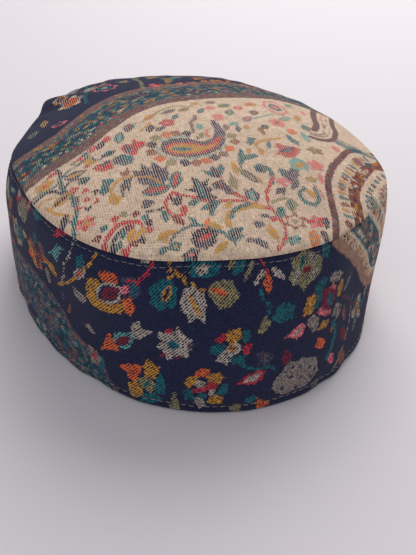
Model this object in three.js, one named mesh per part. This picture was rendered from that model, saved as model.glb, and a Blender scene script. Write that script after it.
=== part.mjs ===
// A soft pillbox cap of pattern-woven wool, in millimetres, +Z up, its front towards -Y.
// It has two pieces: a side band whose lower edge is turned up inside as a hem, and a domed
// oval crown panel whose seam allowance is turned down inside the band's upper edge.
// The cap rests on its rim at z = 0, and the origin is the middle of the rim.

import * as THREE from "three";

// The rim is the oval that goes round the head, measured on the outside.
const RIM = { halfWidth: 84.5, halfLength: 103, squareness: 2.08 };

// The crown edge is the smaller oval at the top of the band, set a little forward of the rim.
const CROWN_EDGE = { halfWidth: 79, halfLength: 84.5, squareness: 2.3, forward: 5 };

const BAND_HEIGHT = 68;
const BAND_BULGE = 2.4;
const DOME_RISE = 17.5;
const DOME_POWER = 2.4;

const CLOTH = 2;
const SEAM_GAP = 0.3;
const SEAM_BELOW_EDGE = 1.6;
const HEM_HEIGHT = 14;
const HEM_CLOTH = 1.4;
const ALLOWANCE_DEPTH = 8;
const ALLOWANCE_CLOTH = 1.5;

// Each profile is lathed round at this radius, and then drawn out to the ovals above.
const LATHE_RADIUS = 80;
const STEPS_ROUND = 96;
const BAND_ROWS = 8;
const DOME_ROWS = 11;

// Soft folds of the cloth. The angle is from +X towards the back and the spread is each fold's
// half width, in degrees. The rest is in millimetres: at is where the fold is strongest along
// the cloth, measured from the crown's edge inwards over the crown or, if negative, down the
// band, reach is how far it fades from there, and out and up are how far it moves the cloth.
const FOLDS = {
  backLeftDent: { angle: 148, spread: 28, at: 0, reach: 26, out: -3.4, up: -2.5 },
  backLeftPucker: { angle: 129, spread: 5, at: 2, reach: 18, out: 2.3, up: 1.9 },
  leftBulge: { angle: 170, spread: 11, at: -14, reach: 20, out: 3, up: 0 },
  leftFrontFlat: { angle: 205, spread: 28, at: -38, reach: 20, out: -4, up: 0 },
  frontSwell: { angle: 252, spread: 14, at: 2, reach: 22, out: 0, up: 2 },
  rightFrontHollow: { angle: 299, spread: 12, at: -28, reach: 24, out: -4.2, up: 0 },
  rightBulge: { angle: 328, spread: 16, at: -6, reach: 18, out: 1.3, up: 0 },
  backRightSlack: { angle: 32, spread: 22, at: 2, reach: 30, out: -2.4, up: -0.6 },
  backSwell: { angle: 108, spread: 22, at: 4, reach: 30, out: -0.2, up: 1.6 },
};

// The height of the crown's outer surface at a share of the way from its middle to its edge.
function domeHeight(share) {
  return BAND_HEIGHT + DOME_RISE * (1 - share ** DOME_POWER);
}

// The oval that the cloth follows at one height: the rim's at the bottom, the crown edge's at
// the top and above it, and bulging a little in between.
function ovalAt(height) {
  const climb = THREE.MathUtils.clamp(height / BAND_HEIGHT, 0, 1);
  const bulge = BAND_BULGE * 4 * climb * (1 - climb);
  return {
    halfWidth: THREE.MathUtils.lerp(RIM.halfWidth, CROWN_EDGE.halfWidth, climb) + bulge,
    halfLength: THREE.MathUtils.lerp(RIM.halfLength, CROWN_EDGE.halfLength, climb) + bulge,
    squareness: THREE.MathUtils.lerp(RIM.squareness, CROWN_EDGE.squareness, climb),
    forward: CROWN_EDGE.forward * climb,
  };
}

// One coordinate of a rounded oval: a cosine or sine, pushed out towards a rectangle.
function squared(wave, squareness) {
  return Math.sign(wave) * Math.abs(wave) ** (2 / squareness);
}

// How far the folds move the cloth at an angle, a share of the way out and a height.
function foldShift(angle, share, height) {
  const along = (1 - share) * LATHE_RADIUS - Math.max(0, BAND_HEIGHT - height);
  const climb = THREE.MathUtils.clamp(height / BAND_HEIGHT, 0, 1);
  const shift = { out: 0, up: 0 };
  for (const fold of Object.values(FOLDS)) {
    const turn = Math.abs(THREE.MathUtils.radToDeg(angle) - fold.angle) % 360;
    const away = Math.min(turn, 360 - turn) / fold.spread;
    const strength = Math.exp(-(away ** 2) - ((along - fold.at) / fold.reach) ** 2);
    shift.out += fold.out * strength;
    shift.up += fold.up * strength * climb;
  }
  return shift;
}

// Draws a round lathed shape out to the head's ovals and lays the folds in it.
function drawOut(geometry) {
  const position = geometry.getAttribute("position");
  for (let i = 0; i < position.count; i += 1) {
    const height = position.getY(i);
    const share = Math.hypot(position.getX(i), position.getZ(i)) / LATHE_RADIUS;
    const angle = Math.atan2(position.getX(i), position.getZ(i));
    const oval = ovalAt(height);
    const shift = foldShift(angle, share, height);
    const reach = share * (1 + shift.out / LATHE_RADIUS);
    position.setXYZ(
      i,
      oval.halfWidth * reach * squared(Math.cos(angle), oval.squareness),
      oval.halfLength * reach * squared(Math.sin(angle), oval.squareness) - oval.forward,
      height + shift.up,
    );
  }
  geometry.computeVertexNormals();
  return geometry;
}

// Evenly spaced values from one to another, both included.
function spaced(from, to, steps) {
  return Array.from({ length: steps + 1 }, (_, i) => THREE.MathUtils.lerp(from, to, i / steps));
}

// The band in section, from the rim's inner edge out, up the outside, over and down the inside.
function bandProfile() {
  const top = BAND_HEIGHT - SEAM_BELOW_EDGE - SEAM_GAP / 2;
  const inner = LATHE_RADIUS - CLOTH;
  const outside = spaced(0, top, BAND_ROWS).map((z) => new THREE.Vector2(LATHE_RADIUS, z));
  const inside = spaced(top, HEM_HEIGHT, BAND_ROWS - 2).map((z) => new THREE.Vector2(inner, z));
  const hem = spaced(HEM_HEIGHT, 0, 2).map((z) => new THREE.Vector2(inner - HEM_CLOTH, z));
  return [...outside, ...inside, ...hem, outside[0]];
}

// The crown in section, from the middle of its underside out to the turned-down allowance,
// round the edge of the panel and back over the top to the middle.
function crownProfile() {
  const allowanceOut = LATHE_RADIUS - CLOTH - SEAM_GAP;
  const allowanceIn = allowanceOut - ALLOWANCE_CLOTH;
  const seam = BAND_HEIGHT - SEAM_BELOW_EDGE;
  const under = spaced(0, allowanceIn, DOME_ROWS).map(
    (radius) => new THREE.Vector2(radius, domeHeight(radius / LATHE_RADIUS) - CLOTH),
  );
  const edge = [
    new THREE.Vector2(allowanceIn, seam - ALLOWANCE_DEPTH),
    new THREE.Vector2(allowanceOut, seam - ALLOWANCE_DEPTH),
    new THREE.Vector2(allowanceOut, seam + SEAM_GAP / 2),
    new THREE.Vector2(LATHE_RADIUS, seam + SEAM_GAP / 2),
  ];
  const over = spaced(LATHE_RADIUS, 0, DOME_ROWS).map(
    (radius) => new THREE.Vector2(radius, domeHeight(radius / LATHE_RADIUS)),
  );
  return [...under, ...edge, ...over];
}

// A piece of cloth lathed from its section and drawn out to the head's shape.
function clothPiece(name, profile, colour) {
  const geometry = drawOut(new THREE.LatheGeometry(profile, STEPS_ROUND));
  const material = new THREE.MeshStandardMaterial({ color: colour, roughness: 0.9, metalness: 0 });
  const mesh = new THREE.Mesh(geometry, material);
  mesh.name = name;
  return mesh;
}

const cap = new THREE.Group();
cap.name = "kani_cap";
cap.add(clothPiece("side_band", bandProfile(), 0x1b1f3d));
cap.add(clothPiece("crown_panel", crownProfile(), 0xcdb595));

export default cap;
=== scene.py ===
"""A soft oval cap of pattern-woven wool: its cloth, woven pattern, stitches, light and camera.

The cap has a side band and a domed crown panel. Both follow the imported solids' shape, which is
worked out here from the same sizes, in millimetres, and written to the meshes in metres. What is
woven where is laid motif by motif on the points of each cloth, and the materials' node groups
turn it into threads.
"""

import logging
import math
from dataclasses import astuple, dataclass
from enum import Enum
from functools import cached_property
from typing import Callable, Protocol, Sequence

import bpy
import numpy as np
from mathutils import Matrix, Vector

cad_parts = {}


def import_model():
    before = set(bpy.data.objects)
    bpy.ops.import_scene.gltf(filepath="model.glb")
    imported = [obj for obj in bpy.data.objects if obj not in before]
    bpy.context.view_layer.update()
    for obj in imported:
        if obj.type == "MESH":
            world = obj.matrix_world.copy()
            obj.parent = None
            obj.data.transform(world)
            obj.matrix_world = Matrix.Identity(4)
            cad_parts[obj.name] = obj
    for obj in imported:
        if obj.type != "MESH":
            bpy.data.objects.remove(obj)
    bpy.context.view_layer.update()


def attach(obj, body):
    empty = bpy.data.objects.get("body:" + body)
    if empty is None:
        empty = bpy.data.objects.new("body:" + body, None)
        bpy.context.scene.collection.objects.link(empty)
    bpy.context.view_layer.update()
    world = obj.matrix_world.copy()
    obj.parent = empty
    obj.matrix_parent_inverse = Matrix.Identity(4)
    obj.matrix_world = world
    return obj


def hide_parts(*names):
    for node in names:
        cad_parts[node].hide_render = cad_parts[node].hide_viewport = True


LOG = logging.getLogger("kani_cap")
MM = 0.001
SMOOTH_ANGLE = 60.0

# Steps all round the cap, a quarter of a degree apart
ROUND_STEPS = 1441

# In millimetres: an edge far from any motif, how far a motif's colour is carried past its edge,
# and how much smaller a motif is woven than it is charted
FAR_OUTSIDE = 99.0
THREAD_SPREAD = 1.3
MOTIF_TRIM = 0.3

# Strides that spread the cells of a strip over one table of chances
CHANCES = 65536
LINE_STRIDE = 7919
CELL_STRIDE = 104729
SEED_STRIDE = 31

# The UV map and the attributes that carry the woven pattern
CLOTH_MAP = "cloth"
GROUND = "woven_ground"
THREAD = "woven_thread"
EDGE = "woven_edge"
REVERSE = "woven_reverse"

Pair = tuple[float, float]


# Yarns


def linear(share: float) -> float:
    """Turn one sRGB share into a linear one."""
    return share / 12.92 if share <= 0.04045 else ((share + 0.055) / 1.055) ** 2.4


class Wool(Enum):
    """The yarns of the cap, each by its sRGB colour from 0 to 255."""

    NAVY = (27, 31, 62)
    CREAM = (218, 192, 166)
    PALE = (176, 164, 150)
    TEAL = (14, 98, 106)
    SEA = (96, 160, 154)
    MUSTARD = (196, 138, 46)
    ORANGE = (218, 98, 44)
    RED = (190, 42, 58)
    MAROON = (120, 26, 46)
    PINK = (222, 112, 118)
    OLIVE = (138, 130, 92)
    MAUVE = (122, 94, 90)
    SLATE = (66, 68, 92)
    RUST = (142, 84, 64)
    STONE = (150, 136, 126)
    TAN = (164, 126, 104)

    @property
    def tint(self) -> np.ndarray:
        """The linear colour, as red, green and blue."""
        return np.array([linear(part / 255.0) for part in self.value])


# The cap's form


@dataclass(frozen=True)
class Oval:
    """A rounded oval, by half its width and length and how square it is."""

    half_width: float
    half_length: float
    squareness: float


@dataclass(frozen=True)
class Fold:
    """A soft fold: where it lies round the cap and along the cloth, and how far it moves it."""

    angle: float
    spread: float
    at: float
    reach: float
    out: float
    up: float


@dataclass(frozen=True)
class CapForm:
    """The cap's shape in millimetres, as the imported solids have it."""

    rim: Oval = Oval(84.5, 103.0, 2.08)
    crown_edge: Oval = Oval(79.0, 84.5, 2.3)
    forward: float = 5.0
    band_height: float = 68.0
    band_bulge: float = 2.4
    dome_rise: float = 17.5
    dome_power: float = 2.4
    radius: float = 80.0
    folds: tuple[Fold, ...] = (
        Fold(148, 28, 0, 26, -3.4, -2.5),
        Fold(129, 5, 2, 18, 2.3, 1.9),
        Fold(170, 11, -14, 20, 3, 0),
        Fold(205, 28, -38, 20, -4, 0),
        Fold(252, 14, 2, 22, 0, 2),
        Fold(299, 12, -28, 24, -4.2, 0),
        Fold(328, 16, -6, 18, 1.3, 0),
        Fold(32, 22, 2, 30, -2.4, -0.6),
        Fold(108, 22, 4, 30, -0.2, 1.6),
    )

    def dome_height(self, radius: np.ndarray) -> np.ndarray:
        """The crown's outer height at a distance from its middle."""
        share = np.asarray(radius) / self.radius
        return self.band_height + self.dome_rise * (1.0 - share**self.dome_power)

    def surface(self, angle: np.ndarray, radius: np.ndarray, height: np.ndarray) -> np.ndarray:
        """Draw a round shape out to the head's ovals and lay the folds in it.

        Args:
            angle: Angle round the cap in degrees, from +X towards the back.
            radius: Distance from the middle, before it is drawn out.
            height: Height above the rim.

        Returns:
            One row of x, y and z in millimetres for each point.
        """
        share = radius / self.radius
        climb = np.clip(height / self.band_height, 0.0, 1.0)
        bulge = self.band_bulge * 4.0 * climb * (1.0 - climb)
        rim, edge = self.rim, self.crown_edge
        half_width = rim.half_width + (edge.half_width - rim.half_width) * climb + bulge
        half_length = rim.half_length + (edge.half_length - rim.half_length) * climb + bulge
        power = 2.0 / (rim.squareness + (edge.squareness - rim.squareness) * climb)
        along = (1.0 - share) * self.radius - np.maximum(0.0, self.band_height - height)
        out = np.zeros_like(share)
        up = np.zeros_like(share)
        for fold in self.folds:
            turn = np.abs(angle - fold.angle) % 360.0
            away = np.minimum(turn, 360.0 - turn) / fold.spread
            strength = np.exp(-(away**2) - ((along - fold.at) / fold.reach) ** 2)
            out += fold.out * strength
            up += fold.up * strength * climb
        reach = share * (1.0 + out / self.radius)
        wave_x = np.cos(np.radians(angle))
        wave_y = np.sin(np.radians(angle))
        x = half_width * reach * np.sign(wave_x) * np.abs(wave_x) ** power
        y = half_length * reach * np.sign(wave_y) * np.abs(wave_y) ** power
        return np.stack([x, y - self.forward * climb, height + up], axis=1)


@dataclass(frozen=True)
class Ripple:
    """Uneven waves in soft cloth, made of a few crossing sine waves from a fixed seed."""

    shortest: float
    longest: float
    seed: int
    waves: int = 14

    def at(self, first: np.ndarray, second: np.ndarray) -> np.ndarray:
        """Work out the waves' height.

        Args:
            first: One coordinate on the cloth, in millimetres.
            second: The other one.

        Returns:
            The height of each point, about -1 to 1.
        """
        chance = np.random.default_rng(self.seed)
        total = np.zeros_like(np.asarray(first, dtype=float))
        for _ in range(self.waves):
            length = chance.uniform(self.shortest, self.longest)
            heading = chance.uniform(0.0, math.tau)
            phase = chance.uniform(0.0, math.tau)
            run = first * math.cos(heading) + second * math.sin(heading)
            total += np.sin(math.tau * run / length + phase)
        return total / math.sqrt(self.waves)


# Laying the woven pattern


def pairs(written: str) -> list[Pair]:
    """Read a written row of numbers two by two."""
    flat = [float(number) for number in written.split()]
    return list(zip(flat[::2], flat[1::2]))


def smooth_path(points: Sequence[Pair], spacing: float = 1.2) -> np.ndarray:
    """Run a smooth line through a few points.

    Args:
        points: The points, in millimetres on the cloth.
        spacing: About how far apart the line's own points are.

    Returns:
        One row of two coordinates for each point of the line.
    """
    knots = np.array(points, dtype=float)
    if len(knots) < 3:
        count = max(2, int(np.hypot(*(knots[-1] - knots[0])) / spacing) + 1)
        share = np.linspace(0.0, 1.0, count)[:, None]
        return knots[0] + (knots[-1] - knots[0]) * share
    padded = np.vstack([2 * knots[0] - knots[1], knots, 2 * knots[-1] - knots[-2]])
    pieces = []
    for before, start, end, after in zip(padded, padded[1:], padded[2:], padded[3:]):
        count = max(2, int(np.hypot(*(end - start)) / spacing) + 1)
        share = np.linspace(0.0, 1.0, count, endpoint=False)[:, None]
        bend = 2 * before - 5 * start + 4 * end - after
        twist = 3 * start - before - 3 * end + after
        pieces.append(
            0.5 * (2 * start + (end - before) * share + bend * share**2 + twist * share**3)
        )
    return np.vstack([*pieces, knots[-1:]])


def beside(at: np.ndarray, path: np.ndarray) -> tuple[np.ndarray, np.ndarray]:
    """Measure points against a line.

    Args:
        at: The points, one row each.
        path: The line's points, one row each.

    Returns:
        How far each point is from the line, plus on its left, and how far along the line.
    """
    nearest = np.full(len(at), np.inf)
    signed = np.zeros(len(at))
    along = np.zeros(len(at))
    run = 0.0
    for start, end in zip(path, path[1:]):
        step = end - start
        length = float(np.hypot(*step))
        if length == 0.0:
            continue
        share = np.clip((at - start) @ step / length**2, 0.0, 1.0)
        gap = at - start - share[:, None] * step
        away = np.hypot(gap[:, 0], gap[:, 1])
        closer = away < nearest
        left = np.where(step[0] * gap[:, 1] - step[1] * gap[:, 0] >= 0.0, 1.0, -1.0)
        nearest = np.where(closer, away, nearest)
        signed = np.where(closer, away * left, signed)
        along = np.where(closer, run + share * length, along)
        run += length
    return signed, along


class Chart:
    """What is woven at each point of one cloth: its ground, its motif yarn and the motif's edge."""

    def __init__(self, at: np.ndarray, ground: Wool, place: Callable[[Pair], Pair]) -> None:
        """Start with plain ground.

        Args:
            at: Each point's place on the cloth, in millimetres.
            ground: The yarn that shows where no motif is.
            place: Turns a place as the motif tables give it into millimetres on the cloth.
        """
        self.at = at
        self.place = place
        self.ground = np.tile(ground.tint, (len(at), 1))
        self.thread = self.ground.copy()
        self.edge = np.full(len(at), -FAR_OUTSIDE)
        self.measured: dict[tuple[Pair, ...], tuple[np.ndarray, np.ndarray]] = {}

    def beside(self, knots: tuple[Pair, ...]) -> tuple[np.ndarray, np.ndarray]:
        """Measure every point against a smooth line, once for each line.

        Args:
            knots: A few of the line's points, as the tables give them.

        Returns:
            How far each point is from the line, plus on its left, and how far along the line.
        """
        if knots not in self.measured:
            path = smooth_path([self.place(spot) for spot in knots], spacing=3.0)
            self.measured[knots] = beside(self.at, path)
        return self.measured[knots]

    def near(self, middle: Pair, reach: float) -> np.ndarray:
        """The numbers of the points within a square around a place."""
        off = np.abs(self.at - np.array(middle))
        return np.flatnonzero((off[:, 0] < reach) & (off[:, 1] < reach))

    def lay(self, rows: np.ndarray, inside: np.ndarray, wool: Wool) -> None:
        """Weave one colour over a form.

        Args:
            rows: The numbers of the points that the form may reach.
            inside: How far inside the form each of them is, minus outside, in millimetres.
            wool: The yarn.
        """
        taken = (inside > 0.0) | ((inside > self.edge[rows]) & (inside > -THREAD_SPREAD))
        chosen = rows[taken]
        self.thread[chosen] = wool.tint
        self.edge[chosen] = np.maximum(self.edge[chosen], inside[taken])

    def flood(self, where: np.ndarray, wool: Wool) -> None:
        """Change the ground yarn and clear the motifs.

        Args:
            where: A mask of the points.
            wool: The new ground yarn.
        """
        self.ground[where] = wool.tint
        self.thread[where] = wool.tint
        self.edge[where] = -FAR_OUTSIDE


class Motif(Protocol):
    """Anything that can be woven into a chart."""

    def weave(self, chart: Chart) -> None:
        """Lay the motif on the chart."""


@dataclass(frozen=True)
class Leaf:
    """A leaf, petal or bud: where it is, how long and wide, its turn and its yarns."""

    first: float
    second: float
    long: float
    wide: float
    turn: float
    wool: Wool
    vein: Wool | None = None
    vein_width: float = 0.42
    vein_length: float = 0.72

    def weave(self, chart: Chart) -> None:
        """Lay the leaf, and its vein or heart if it has one.

        Args:
            chart: What is woven so far.
        """
        middle = chart.place((self.first, self.second))
        long, wide = self.long / 2.0, self.wide / 2.0 - 0.5 * MOTIF_TRIM
        rows = chart.near(middle, long + wide + THREAD_SPREAD)
        off = chart.at[rows] - np.array(middle)
        turn = math.radians(self.turn)
        along = off[:, 0] * math.cos(turn) + off[:, 1] * math.sin(turn)
        across = off[:, 1] * math.cos(turn) - off[:, 0] * math.sin(turn)
        width = wide * np.clip(1.0 - (along / long) ** 2, 0.0, 1.0)
        beyond = -np.hypot(np.maximum(np.abs(along) - long, 0.0), np.abs(across))
        inside = np.where(np.abs(along) < long, width - np.abs(across), beyond)
        chart.lay(rows, inside, self.wool)
        if self.vein is not None:
            heart = self.vein_width * width - np.abs(across) - 0.1
            core = (heart > 0.0) & (np.abs(along) < self.vein_length * long)
            chart.lay(rows[core], heart[core], self.vein)


@dataclass(frozen=True)
class Shape:
    """An uneven form with straight sides, given corner by corner."""

    outline: str
    wool: Wool

    def weave(self, chart: Chart) -> None:
        """Lay the form.

        Args:
            chart: What is woven so far.
        """
        corners = np.array([chart.place(spot) for spot in pairs(self.outline)])
        middle = (corners.min(axis=0) + corners.max(axis=0)) / 2.0
        reach = float(np.ptp(corners, axis=0).max()) / 2.0 + THREAD_SPREAD
        rows = chart.near(tuple(middle), reach)
        at = chart.at[rows]
        closed = np.vstack([corners, corners[:1]])
        away = np.abs(beside(at, closed)[0])
        crossings = np.zeros(len(at), dtype=int)
        for start, end in zip(closed, closed[1:]):
            if start[1] != end[1]:
                spans = (start[1] > at[:, 1]) != (end[1] > at[:, 1])
                share = (at[:, 1] - start[1]) / (end[1] - start[1])
                crossings += spans & (at[:, 0] < start[0] + share * (end[0] - start[0]))
        chart.lay(rows, np.where(crossings % 2 == 1, away, -away), self.wool)


@dataclass(frozen=True)
class Bloom:
    """A flower seen from above: lobed petals in turn, and rings round its heart."""

    first: float
    second: float
    wide: float
    tall: float
    petals: tuple[Wool, ...]
    heart: tuple[tuple[float, Wool], ...] = ()
    turn: float = 0.0
    lobes: int = 0
    depth: float = 0.32
    roundness: float = 1.4
    heart_lobes: float = 0.4

    def weave(self, chart: Chart) -> None:
        """Lay the petals, then each ring of the heart over them.

        Args:
            chart: What is woven so far.
        """
        middle = chart.place((self.first, self.second))
        wide, tall = self.wide / 2.0 - MOTIF_TRIM, self.tall / 2.0 - MOTIF_TRIM
        rows = chart.near(middle, max(wide, tall) + THREAD_SPREAD)
        off = (chart.at[rows] - np.array(middle)) / np.array([wide, tall])
        away = np.hypot(off[:, 0], off[:, 1])
        count = self.lobes or len(self.petals)
        around = np.arctan2(off[:, 1], off[:, 0]) - math.radians(self.turn)
        phase = around * count / math.tau
        lobe = 1.0 - (2.0 * np.abs(phase - np.rint(phase))) ** self.roundness
        rim = 1.0 - self.depth * (1.0 - lobe)
        size = math.sqrt(wide * tall)
        inside = (rim - away) * size
        turn_number = np.rint(phase).astype(int) % count
        for number in range(count):
            wool = self.petals[number % len(self.petals)]
            own = turn_number == number
            chart.lay(rows[own], inside[own], wool)
        for share, wool in self.heart:
            within = (share * (1.0 - self.heart_lobes * (1.0 - rim)) - away) * size
            core = within > 0.0
            chart.lay(rows[core], within[core], wool)


@dataclass(frozen=True)
class Stem:
    """A vine or stalk: a smooth line of one width, perhaps broken into dots."""

    path: str
    width: float
    wool: Wool
    dotted: float = 0.0
    dot_waist: float = 0.6

    def weave(self, chart: Chart) -> None:
        """Lay the line.

        Args:
            chart: What is woven so far.
        """
        path = smooth_path([chart.place(spot) for spot in pairs(self.path)])
        low, high = path.min(axis=0), path.max(axis=0)
        middle = (low + high) / 2.0
        rows = chart.near(tuple(middle), float((high - low).max()) / 2.0 + self.width + 2.0)
        signed, along = beside(chart.at[rows], path)
        inside = self.width / 2.0 - np.abs(signed)
        if self.dotted > 0.0:
            waist = np.cos(math.tau * along / self.dotted) < -0.1
            inside = inside - self.dot_waist * self.width * waist
        chart.lay(rows, inside, self.wool)


@dataclass(frozen=True)
class Strip:
    """A strip along a line: a band of plain ground between two distances from it."""

    path: tuple[Pair, ...]
    inner: float
    outer: float
    wool: Wool

    def weave(self, chart: Chart) -> None:
        """Flood the strip with its ground yarn."""
        signed, _ = chart.beside(self.path)
        chart.flood((signed > self.inner) & (signed < self.outer), self.wool)


@dataclass(frozen=True)
class Teeth:
    """A row of small leaves standing across a strip, in colours that take turns."""

    path: tuple[Pair, ...]
    inner: float
    outer: float
    pitch: float
    wools: tuple[Wool, ...]
    share: float

    def weave(self, chart: Chart) -> None:
        """Lay each tooth.

        Args:
            chart: What is woven so far.
        """
        signed, along = chart.beside(self.path)
        rows = np.flatnonzero((signed > self.inner - 2.0) & (signed < self.outer + 2.0))
        height = (signed[rows] - self.inner) / (self.outer - self.inner)
        run = along[rows] / self.pitch
        number = np.floor(run).astype(int)
        across = np.abs(run - number - 0.5) * self.pitch
        width = 0.5 * self.share * self.pitch * np.sqrt(np.clip(4 * height * (1 - height), 0, 1))
        inside = np.where((height > 0.0) & (height < 1.0), width - across, -FAR_OUTSIDE)
        for turn, wool in enumerate(self.wools):
            own = number % len(self.wools) == turn
            chart.lay(rows[own], inside[own], wool)


@dataclass(frozen=True)
class Specks:
    """Close small motifs that fill a strip, scattered from a fixed seed."""

    path: tuple[Pair, ...]
    inner: float
    outer: float
    cell: Pair
    wools: tuple[Wool, ...]
    share: float = 0.75
    seed: int = 1
    scatter: float = 0.5
    smallest: float = 0.7
    growth: float = 0.6

    def weave(self, chart: Chart) -> None:
        """Lay one small oval in most cells of the strip.

        Args:
            chart: What is woven so far.
        """
        signed, along = chart.beside(self.path)
        rows = np.flatnonzero((signed > self.inner) & (signed < self.outer))
        line = np.floor(signed[rows] / self.cell[1]).astype(int)
        run = along[rows] / self.cell[0] + 0.5 * (line % 2)
        number = np.floor(run).astype(int)
        key = line * LINE_STRIDE + number * CELL_STRIDE + self.seed * SEED_STRIDE
        key %= CHANCES
        chance = np.random.default_rng(self.seed).random((CHANCES, 4))
        shift = (chance[key, :2] - 0.5) * self.scatter
        off_along = (run - number - 0.5 - shift[:, 0]) * self.cell[0]
        off_across = (signed[rows] / self.cell[1] - line - 0.5 - shift[:, 1]) * self.cell[1]
        size = 0.5 * self.share * (self.smallest + self.growth * chance[key, 3])
        away = np.hypot(off_along / self.cell[0], off_across / self.cell[1])
        inside = (size - away) * min(self.cell)
        choice = np.floor(chance[key, 2] * len(self.wools)).astype(int)
        for turn, wool in enumerate(self.wools):
            own = choice == turn
            chart.lay(rows[own], inside[own], wool)


@dataclass(frozen=True)
class Scatter:
    """Small blooms of one size, each at its own place and in its own colour."""

    size: float
    spots: tuple[tuple[float, float, Wool], ...]
    turn_step: float = 37.0
    lobes: int = 4
    depth: float = 0.25

    def weave(self, chart: Chart) -> None:
        """Lay each small bloom.

        Args:
            chart: What is woven so far.
        """
        for number, (first, second, wool) in enumerate(self.spots):
            form = (self.turn_step * number, self.lobes, self.depth)
            Bloom(first, second, self.size, self.size, (wool,), (), *form).weave(chart)


@dataclass(frozen=True)
class Garden:
    """Flowers and leaves in staggered rows, where the photo shows none of the cloth."""

    corners: tuple[Pair, Pair]
    spacing: float
    ground: Wool
    seed: int
    row_share: float = 0.8
    drift: float = 0.1
    bloom_sizes: Pair = (0.5, 0.72)
    rings: Pair = (0.5, 0.22)
    leaf_size: Pair = (0.42, 0.2)
    aside: Pair = (0.5, 0.22)
    stem_bend: Pair = (0.3, -1.0)

    def weave(self, chart: Chart) -> None:
        """Lay the flowers and leaves, each from a fixed seed.

        Args:
            chart: What is woven so far.
        """
        chance = np.random.default_rng(self.seed)
        low, high = (np.array(chart.place(corner)) for corner in self.corners)
        petals = (Wool.MUSTARD, Wool.TEAL, Wool.ORANGE, Wool.PALE, Wool.OLIVE, Wool.RED)
        hearts = (Wool.MAROON, Wool.PALE, Wool.MUSTARD, Wool.TEAL)
        columns = int((high[0] - low[0]) / self.spacing) + 1
        rows = int((high[1] - low[1]) / (self.row_share * self.spacing)) + 1
        inner = Chart(chart.at, self.ground, lambda spot: spot)
        for number in range(columns * rows):
            row, column = divmod(number, columns)
            sideways = chance.uniform(-self.drift, self.drift)
            across = low[0] + (column + 0.5 * (row % 2) + sideways) * self.spacing
            upwards = chance.uniform(-self.drift, self.drift)
            upward = low[1] + (row * self.row_share + upwards) * self.spacing
            size = self.spacing * chance.uniform(*self.bloom_sizes)
            first, second = chance.choice(len(petals), 2, replace=False)
            heart = hearts[chance.integers(len(hearts))]
            turn = chance.uniform(0.0, 90.0)
            rings = tuple(zip(self.rings, (heart, petals[second])))
            wools = (petals[first], petals[second])
            Bloom(across, upward, size, size, wools, rings, turn, 6, 0.34).weave(inner)
            aside = (across + self.aside[0] * self.spacing, upward + self.aside[1] * self.spacing)
            bend = (across + self.stem_bend[0] * self.spacing, upward + self.stem_bend[1])
            knots = (across, upward, *bend, *aside)
            Stem(" ".join(map(str, knots)), 1.1, Wool.TEAL, 3.0).weave(inner)
            leaf = (self.leaf_size[0] * self.spacing, self.leaf_size[1] * self.spacing)
            Leaf(*aside, *leaf, turn, petals[first], petals[second]).weave(inner)
        plain = np.abs(chart.ground - self.ground.tint).sum(axis=1) < 1e-6
        taken = plain & (inner.edge > chart.edge)
        chart.thread[taken] = inner.thread[taken]
        chart.edge[taken] = inner.edge[taken]


# The materials' node groups


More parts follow.
